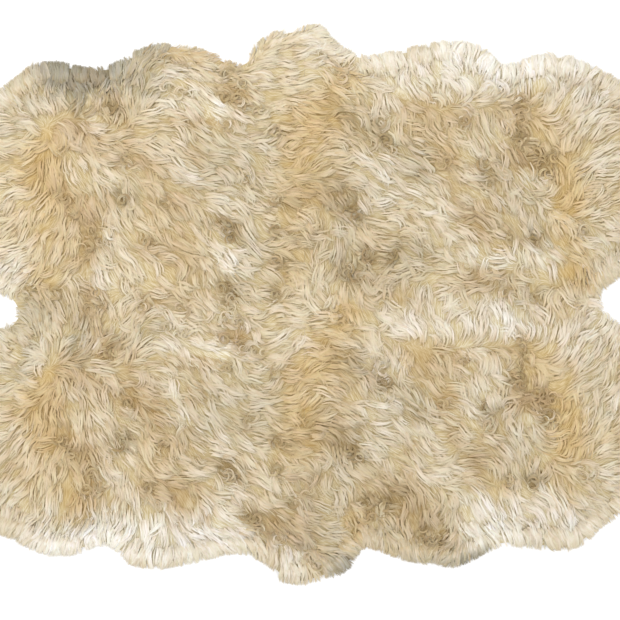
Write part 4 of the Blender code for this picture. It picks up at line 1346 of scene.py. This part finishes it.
NOISE_RANGE = (0.3, 0.7)        # where nearly all values of a noise lie
SHADE_POWERS = (0.73, 1.0, 1.78)    # how strongly each channel follows a shade


def warm_shade_group(name):
    """A colour made darker or lighter, and warmer as it darkens, the way shaded wool looks; it carries the
    painted shade as well as the wool's own chance tones.
    """
    nodes, taken, given, group = new_group(
        name, [("Color", "Color"), ("Shade", "Float")], [("Color", "Color")]
    )
    channels = nodes.add("ShaderNodeCombineColor")
    for channel, power in zip(channels.inputs, SHADE_POWERS):
        nodes.link(nodes.math("POWER", taken["Shade"], power), channel)
    nodes.link(nodes.mix(1.0, taken["Color"], channels.outputs[0], "MULTIPLY"), given["Color"])
    return group


ROOT_SPAN, ROOT_TINT_AND_SHADE = (0.10, 0.80), (0.52, 0.0)    # where the root's colour fades, and its strength; it is partly the wool's own warmer tone near the skin and partly painted shade between the locks
PLAIN_TINT = (1.0, 0.4)         # how much of it is left as ivory or ash grows
STRAND_SHADES = (0.97, 1.025)
LOCK_SHADES = (0.945, 1.04)
# painted shade, from the strands at the surface down to the deepest ones
DEEP_SHADES = (1.035, 0.765)
HUE_STRIDE = 7.3                # a lock's hue runs over its range this often as its shade does once
PINK_CAST = (1.012, 0.975, 1.0)
GREEN_CAST = (0.985, 1.015, 0.985)      # the hues that the locks range between


def wool_tone_group(name):
    """The wool's colour from its tints, its place along a strand, its own chance value and painted shade
    for how deep it lies.
    """
    values = [(tint.title(), "Float") for tint in TINT_NAMES]
    values += [(title, "Float") for title in ("Along", "Strand", "Lock", "Deep")]
    colours = [("Wool", "Color"), ("Root", "Color")]
    colours += [(tint.title() + " Tint", "Color") for tint in TINT_NAMES]
    nodes, taken, given, group = new_group(name, values + colours, [("Color", "Color")])
    tone = taken["Wool"]
    for tint in TINT_NAMES:
        tone = nodes.mix(taken[tint.title()], tone, taken[tint.title() + " Tint"])
    # root colour: partly the wool's own tone near the skin, partly painted shade between the locks
    root_tint_and_shade = nodes.span(taken["Along"], ROOT_SPAN, ROOT_TINT_AND_SHADE, smooth=True)
    plain = nodes.math("MAXIMUM", taken["Ivory"], taken["Ash"])
    root_tint_and_shade = nodes.math("MULTIPLY", root_tint_and_shade, nodes.span(plain, (0, 1), PLAIN_TINT))
    tone = nodes.mix(root_tint_and_shade, tone, taken["Root"])
    strand = nodes.span(taken["Strand"], (0, 1), STRAND_SHADES)
    lock = nodes.span(taken["Lock"], (0, 1), LOCK_SHADES)
    # painted shade, darker for strands that lie deep in the wool
    deep = nodes.span(taken["Deep"], (0, 1), DEEP_SHADES)
    shade = nodes.math("MULTIPLY", nodes.math("MULTIPLY", strand, lock), deep)
    hue = nodes.math("FRACT", nodes.math("MULTIPLY", taken["Lock"], HUE_STRIDE))
    cast = nodes.mix(hue, PINK_CAST, GREEN_CAST)
    nodes.link(nodes.shaded(nodes.mix(1.0, tone, cast, "MULTIPLY"), shade), given["Color"])
    return group


FIBRE_SHADES = (0.98, 1.02)
FIBRE_STRIDE = 53.0             # keeps the streaks of neighbouring strands apart


def fibre_group(name):
    """Fine streaks that run along a strand: a shade near 1 and a height."""
    nodes, taken, given, group = new_group(
        name,
        [("Vector", "Vector"), ("Strand", "Float"), ("Across", "Float"), ("Down", "Float")],
        [("Shade", "Float"), ("Height", "Float")],
    )
    apart = nodes.add("ShaderNodeSeparateXYZ")
    nodes.link(taken["Vector"], apart.inputs[0])
    joined = nodes.add("ShaderNodeCombineXYZ")
    nodes.link(nodes.math("MULTIPLY", apart.outputs["X"], taken["Across"]), joined.inputs["X"])
    nodes.link(nodes.math("MULTIPLY", apart.outputs["Y"], taken["Down"]), joined.inputs["Y"])
    nodes.link(nodes.math("MULTIPLY", taken["Strand"], FIBRE_STRIDE), joined.inputs["Z"])
    streak = nodes.noise(joined.outputs[0])
    nodes.link(nodes.span(streak, NOISE_RANGE, FIBRE_SHADES), given["Shade"])
    nodes.link(streak, given["Height"])
    return group


STREAK_WAYS = 6                 # fixed directions that the combed streaks are mixed from
STREAK_FOCUS = 3.0              # how narrowly each keeps to its own direction
LEAST_FOCUS = 0.001


def combed_group(name):
    """Streaks that follow the comb of the wool, mixed from a few fixed directions.

    Twice Cos and Twice Sin are the cosine and sine of double the wool's heading.
    """
    values = [(title, "Float") for title in ("Twice Cos", "Twice Sin", "Length", "Width")]
    nodes, taken, given, group = new_group(name, [("Vector", "Vector")] + values, [("Fac", "Float")])
    grain = nodes.add("ShaderNodeCombineXYZ")
    nodes.link(taken["Length"], grain.inputs["X"])
    nodes.link(taken["Width"], grain.inputs["Y"])
    grain.inputs["Z"].default_value = 1.0
    summed, weights = None, None
    for step in range(STREAK_WAYS):
        angle = math.pi * step / STREAK_WAYS
        along = nodes.math("MULTIPLY", taken["Twice Cos"], math.cos(2 * angle))
        along = nodes.math("ADD", along, nodes.math("MULTIPLY", taken["Twice Sin"], math.sin(2 * angle)))
        weight = nodes.math("POWER", nodes.math("MAXIMUM", along, 0.0), STREAK_FOCUS)
        turn = nodes.add("ShaderNodeMapping", vector_type="TEXTURE")
        nodes.link(taken["Vector"], turn.inputs["Vector"])
        turn.inputs["Rotation"].default_value = (0, 0, angle)
        nodes.link(grain.outputs[0], turn.inputs["Scale"])
        streak = nodes.noise(turn.outputs["Vector"], detail=3.0, noise_dimensions="2D")
        part = nodes.math("MULTIPLY", streak, weight)
        summed = part if summed is None else nodes.math("ADD", summed, part)
        weights = weight if weights is None else nodes.math("ADD", weights, weight)
    nodes.link(nodes.math("DIVIDE", summed, nodes.math("MAXIMUM", weights, LEAST_FOCUS)), given["Fac"])
    return group


def new_material(name):
    """A material with its nodes and its shader."""
    material = fresh(bpy.data.materials, name)
    material.use_nodes = True
    nodes = Nodes(material.node_tree)
    return material, nodes, material.node_tree.nodes["Principled BSDF"]


def wool_tone(nodes, settings, **values):
    """The wool's colour with the user's tints, read from the values on the piece."""
    for name in TINT_NAMES:
        values[name] = nodes.attribute(name)
        values[name + "_tint"] = getattr(settings, name)
    tone = nodes.group("wool_tone", wool_tone_group, wool=settings.base, root=settings.root, **values)
    return tone["Color"]


STRAND_GLOSS = (-0.08, 0.12)    # roughness of the fibres' hollows and crests past the usual
STRAND_SPECULAR = 0.25


def strand_material(settings):
    """Wool strands: tinted locks, warmer and darker to the root (partly the wool's own tone, partly painted
    shade), darker with painted shade where they lie deep, with fine streaks along each strand.
    """
    material, nodes, shader = new_material("wool_strands")
    along, seed, lock, deep = (nodes.attribute(name) for name in ("along", "seed", "lock_seed", "deep"))
    tone = wool_tone(nodes, settings, along=along, strand=seed, lock=lock, deep=deep)
    place = nodes.add("ShaderNodeUVMap", uv_map="fibre").outputs["UV"]
    fibre = nodes.group("fibre_streaks", fibre_group, vector=place, strand=seed, across=3.2, down=60.0)
    nodes.link(nodes.shaded(tone, fibre["Shade"]), shader.inputs["Base Color"])
    nodes.bump(shader, fibre["Height"], strength=0.12, distance=0.0003)
    gloss = [min(settings.roughness + more, 1.0) for more in STRAND_GLOSS]
    nodes.link(nodes.span(fibre["Height"], NOISE_RANGE, gloss), shader.inputs["Roughness"])
    shader.inputs["Specular IOR Level"].default_value = STRAND_SPECULAR
    return material


BED_STREAK = {"length": 0.030, "width": 0.0028}
# painted shade: the bed is coloured as wool lying deep, darker than the locks over it
BED_TONE = {"along": 0.60, "lock": 0.5, "deep": 0.9}
# streaks of tone along the comb, whose low end also darkens the bed as painted shade
BED_SPAN, BED_SHADES = (0.32, 0.64), (0.66, 1.14)
BED_GLOSS = (0.85, 1.0)


def bed_material(settings):
    """The dense wool at the foot of the locks: warm, finely crimped and darker, with painted shade for
    lying deep under them.
    """
    material, nodes, shader = new_material("wool_bed")
    cos, sin = nodes.attribute("twice_cos"), nodes.attribute("twice_sin")
    place = nodes.object_place()
    tufts = nodes.group(
        "combed_streaks", combed_group, vector=place, twice_cos=cos, twice_sin=sin, **BED_STREAK
    )["Fac"]
    strand = nodes.span(tufts, NOISE_RANGE, (0, 1))
    tone = wool_tone(nodes, settings, strand=strand, **BED_TONE)
    shade = nodes.span(tufts, BED_SPAN, BED_SHADES)
    nodes.link(nodes.shaded(tone, shade), shader.inputs["Base Color"])
    nodes.bump(shader, tufts, strength=0.8, distance=0.0015)
    nodes.link(nodes.span(tufts, NOISE_RANGE, BED_GLOSS), shader.inputs["Roughness"])
    return material


CLOUD_DARK = 0.80               # a cloud's tone over the suede's
NAP_SHADES = (0.90, 1.08)
HIDE_GLOSS = (-0.05, 0.10)


def hide_material(settings):
    """Tanned skin: pale suede with a fine nap and soft clouds of tone."""
    material, nodes, shader = new_material("tanned_hide")
    place = nodes.object_place()
    clouds = nodes.noise(place, scale=9.0, detail=4.0)
    nap = nodes.noise(place, scale=900.0, detail=3.0)
    dark = [channel * CLOUD_DARK for channel in settings.suede]
    tone = nodes.mix(nodes.span(clouds, NOISE_RANGE, (0, 1)), dark, settings.suede)
    grain = nodes.span(nap, NOISE_RANGE, NAP_SHADES)
    grey = nodes.add("ShaderNodeCombineColor")
    for channel in grey.inputs:
        nodes.link(grain, channel)
    nodes.link(nodes.mix(1.0, tone, grey.outputs[0], "MULTIPLY"), shader.inputs["Base Color"])
    nodes.bump(shader, nap, strength=0.4, distance=0.0004)
    gloss = [settings.roughness + more for more in HIDE_GLOSS]
    nodes.link(nodes.span(clouds, NOISE_RANGE, gloss), shader.inputs["Roughness"])
    return material


THREAD_DARK = 0.75
THREAD_GLOSS = (0.5, 0.7)
TWIST_SCALE = 900.0


def thread_material(settings):
    """Waxed thread: pale, with soft mottling and a fine twist."""
    material, nodes, shader = new_material("sewing_thread")
    place = nodes.object_place()
    mottle = nodes.noise(place, scale=400.0)
    dark = [channel * THREAD_DARK for channel in settings.thread]
    tone = nodes.mix(nodes.span(mottle, NOISE_RANGE, (0, 1)), dark, settings.thread)
    nodes.link(tone, shader.inputs["Base Color"])
    twist = nodes.add("ShaderNodeTexWave")
    twist.inputs["Scale"].default_value = TWIST_SCALE
    nodes.link(place, twist.inputs["Vector"])
    nodes.bump(shader, twist.outputs["Fac"], strength=0.5, distance=0.0001)
    nodes.link(nodes.span(mottle, NOISE_RANGE, THREAD_GLOSS), shader.inputs["Roughness"])
    return material


# ---------------------------------------------------------------- operators

BED_SEED = 5


class RUG_OT_hides(bpy.types.Operator):
    """Give the four tanned skins their suede finish"""

    bl_idname = "rug.hides"
    bl_label = "Hides"

    def execute(self, context):
        material = hide_material(context.scene.rug_hide)
        for pelt in PELT_NAMES:
            hide = frame["nodes"]["hide_" + pelt]
            hide.data.materials.clear()
            hide.data.materials.append(material)
        return {"FINISHED"}


class RUG_OT_stitches(bpy.types.Operator):
    """Sew the skins together along their seams"""

    bl_idname = "rug.stitches"
    bl_label = "Stitches"

    def execute(self, context):
        settings = context.scene.rug_hide
        mesh = mesh_of(stitch_shape(settings), "seam_stitches")
        mesh.shade_smooth()
        new_piece(mesh, thread_material(settings))
        return {"FINISHED"}


class RUG_OT_beds(bpy.types.Operator):
    """Make the dense wool under the locks of each pelt"""

    bl_idname = "rug.beds"
    bl_label = "Wool beds"

    def execute(self, context):
        material = bed_material(context.scene.rug_wool)
        rng = np.random.default_rng(BED_SEED)
        for pelt in PELT_NAMES:
            mesh = mesh_of(bed_shape(pelt), "wool_bed_" + pelt)
            mesh.shade_smooth()
            mesh.set_sharp_from_angle(angle=BED_SHARP)
            places = np.array([vert.co.xy for vert in mesh.vertices])
            shares = tint_shares(places, rng)
            way = combed_way(places)
            for index, tint in enumerate(TINT_NAMES):
                add_values(mesh, tint, shares[:, index])
            add_values(mesh, "twice_cos", way[:, 0] ** 2 - way[:, 1] ** 2)
            add_values(mesh, "twice_sin", 2 * way[:, 0] * way[:, 1])
            piece = new_piece(mesh, material)
            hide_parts("fleece_" + pelt)
        return {"FINISHED"}


def pelt_choice(description):
    """A setting that picks one of the pelts."""
    items = [(name, name.replace("_", " ").title(), "") for name in PELT_NAMES]
    return EnumProperty(name="Pelt", description=description, items=items)


class RUG_OT_locks(bpy.types.Operator):
    """Grow the long locks of wool on one pelt and comb them"""

    bl_idname = "rug.locks"
    bl_label = "Wool locks"

    pelt: pelt_choice("The pelt that the locks grow on")

    def execute(self, context):
        settings = context.scene.rug_wool
        material = bpy.data.materials.get("wool_strands") or strand_material(settings)
        grown = grow_locks(self.pelt, settings)
        at_rim = grown["inside"] < RIM_ZONE
        for part, chosen in (("rim", at_rim), ("crown", ~at_rim)):
            mesh = strand_mesh(f"locks_{part}_{self.pelt}", grown, np.flatnonzero(chosen))
            new_piece(mesh, material)
        return {"FINISHED"}


class RUG_OT_curls(bpy.types.Operator):
    """Wind up the small rosettes of one pelt"""

    bl_idname = "rug.curls"
    bl_label = "Curls"

    pelt: pelt_choice("The pelt that the curls lie on")

    def execute(self, context):
        settings = context.scene.rug_wool
        material = bpy.data.materials.get("wool_strands") or strand_material(settings)
        grown = grow_curls(self.pelt, settings)
        mesh = strand_mesh(f"curls_{self.pelt}", grown, np.arange(len(grown["seed"])))
        new_piece(mesh, material)
        return {"FINISHED"}


FLOOR_HALF = 12.0               # half the width of the floor
FLOOR_DROP = 0.0003             # it lies this much lower than the rug, so that they don't flicker
FLOOR_ROUGHNESS = 0.9
VIEW_CENTRE = (0.01375, -0.0125)
LIGHTS = (  # name, place, size, share of the power
    ("key", (-1.2, 1.2, 2.8), 2.4, 1.0),
    ("fill", (1.8, -1.6, 2.8), 2.4, 0.35),
)


class RUG_OT_studio(bpy.types.Operator):
    """Set up the pale floor, the soft lights and the camera straight above the rug"""

    bl_idname = "rug.studio"
    bl_label = "Studio"

    def execute(self, context):
        settings = context.scene.rug_studio
        self.make_floor(settings)
        self.make_lights(context.scene, settings)
        self.make_camera(context.scene, settings)
        context.scene.view_settings.view_transform = "Standard"
        return {"FINISHED"}

    def make_floor(self, settings):
        shape = bmesh.new()
        bmesh.ops.create_grid(shape, x_segments=1, y_segments=1, size=FLOOR_HALF)
        bmesh.ops.translate(shape, verts=shape.verts, vec=(0, 0, -FLOOR_DROP))
        mesh = mesh_of(shape, "floor")
        material, _, shader = new_material("pale_floor")
        shader.inputs["Base Color"].default_value = (*settings.floor, 1)
        shader.inputs["Roughness"].default_value = FLOOR_ROUGHNESS
        mesh.materials.append(material)
        placed(mesh.name, mesh)

    def make_lights(self, scene, settings):
        for name, place, size, share in LIGHTS:
            lamp = fresh(bpy.data.lights, name, "AREA")
            lamp.size = size
            lamp.energy = settings.key_power * share
            light = placed(name, lamp)
            light.location = place
            light.rotation_euler = (-Vector(place)).to_track_quat("-Z", "Y").to_euler()
        world = fresh(bpy.data.worlds, "studio")
        world.use_nodes = True
        background = world.node_tree.nodes["Background"]
        background.inputs["Color"].default_value = (1, 1, 1, 1)
        background.inputs["Strength"].default_value = settings.sky
        scene.world = world

    def make_camera(self, scene, settings):
        data = fresh(bpy.data.cameras, "camera")
        data.lens = settings.lens
        camera = placed("camera", data)
        reach = settings.view_width * settings.lens / data.sensor_width
        camera.location = (*VIEW_CENTRE, RIM_TOP + reach)
        scene.camera = camera


class RUG_PT_sidebar(bpy.types.Panel):
    """Lists the steps that dress the rug"""

    bl_label = "Sheepskin rug"
    bl_idname = "RUG_PT_sidebar"
    bl_space_type = "VIEW_3D"
    bl_region_type = "UI"
    bl_category = "Rug"

    def draw(self, context):
        column = self.layout.column(align=True)
        column.operator("rug.hides")
        column.operator("rug.stitches")
        column.operator("rug.beds")
        column.operator_menu_enum("rug.locks", "pelt")
        column.operator_menu_enum("rug.curls", "pelt")
        column.operator("rug.studio")
        for group in (context.scene.rug_wool, context.scene.rug_hide, context.scene.rug_studio):
            box = self.layout.box()
            for name in group.__annotations__:
                box.prop(group, name)


CLASSES = (
    RugWoolSettings,
    RugHideSettings,
    RugStudioSettings,
    RUG_OT_hides,
    RUG_OT_stitches,
    RUG_OT_beds,
    RUG_OT_locks,
    RUG_OT_curls,
    RUG_OT_studio,
    RUG_PT_sidebar,
)


def register():
    for item in CLASSES:
        bpy.utils.register_class(item)
    bpy.types.Scene.rug_wool = PointerProperty(type=RugWoolSettings)
    bpy.types.Scene.rug_hide = PointerProperty(type=RugHideSettings)
    bpy.types.Scene.rug_studio = PointerProperty(type=RugStudioSettings)


def unregister():
    del bpy.types.Scene.rug_wool
    del bpy.types.Scene.rug_hide
    del bpy.types.Scene.rug_studio
    for item in reversed(CLASSES):
        bpy.utils.unregister_class(item)


def main():
    register()
    bpy.ops.rug.hides()
    bpy.ops.rug.stitches()
    bpy.ops.rug.beds()
    for pelt in PELT_NAMES:
        bpy.ops.rug.locks(pelt=pelt)
        bpy.ops.rug.curls(pelt=pelt)
    bpy.ops.rug.studio()


if __name__ == "__main__":
    main()
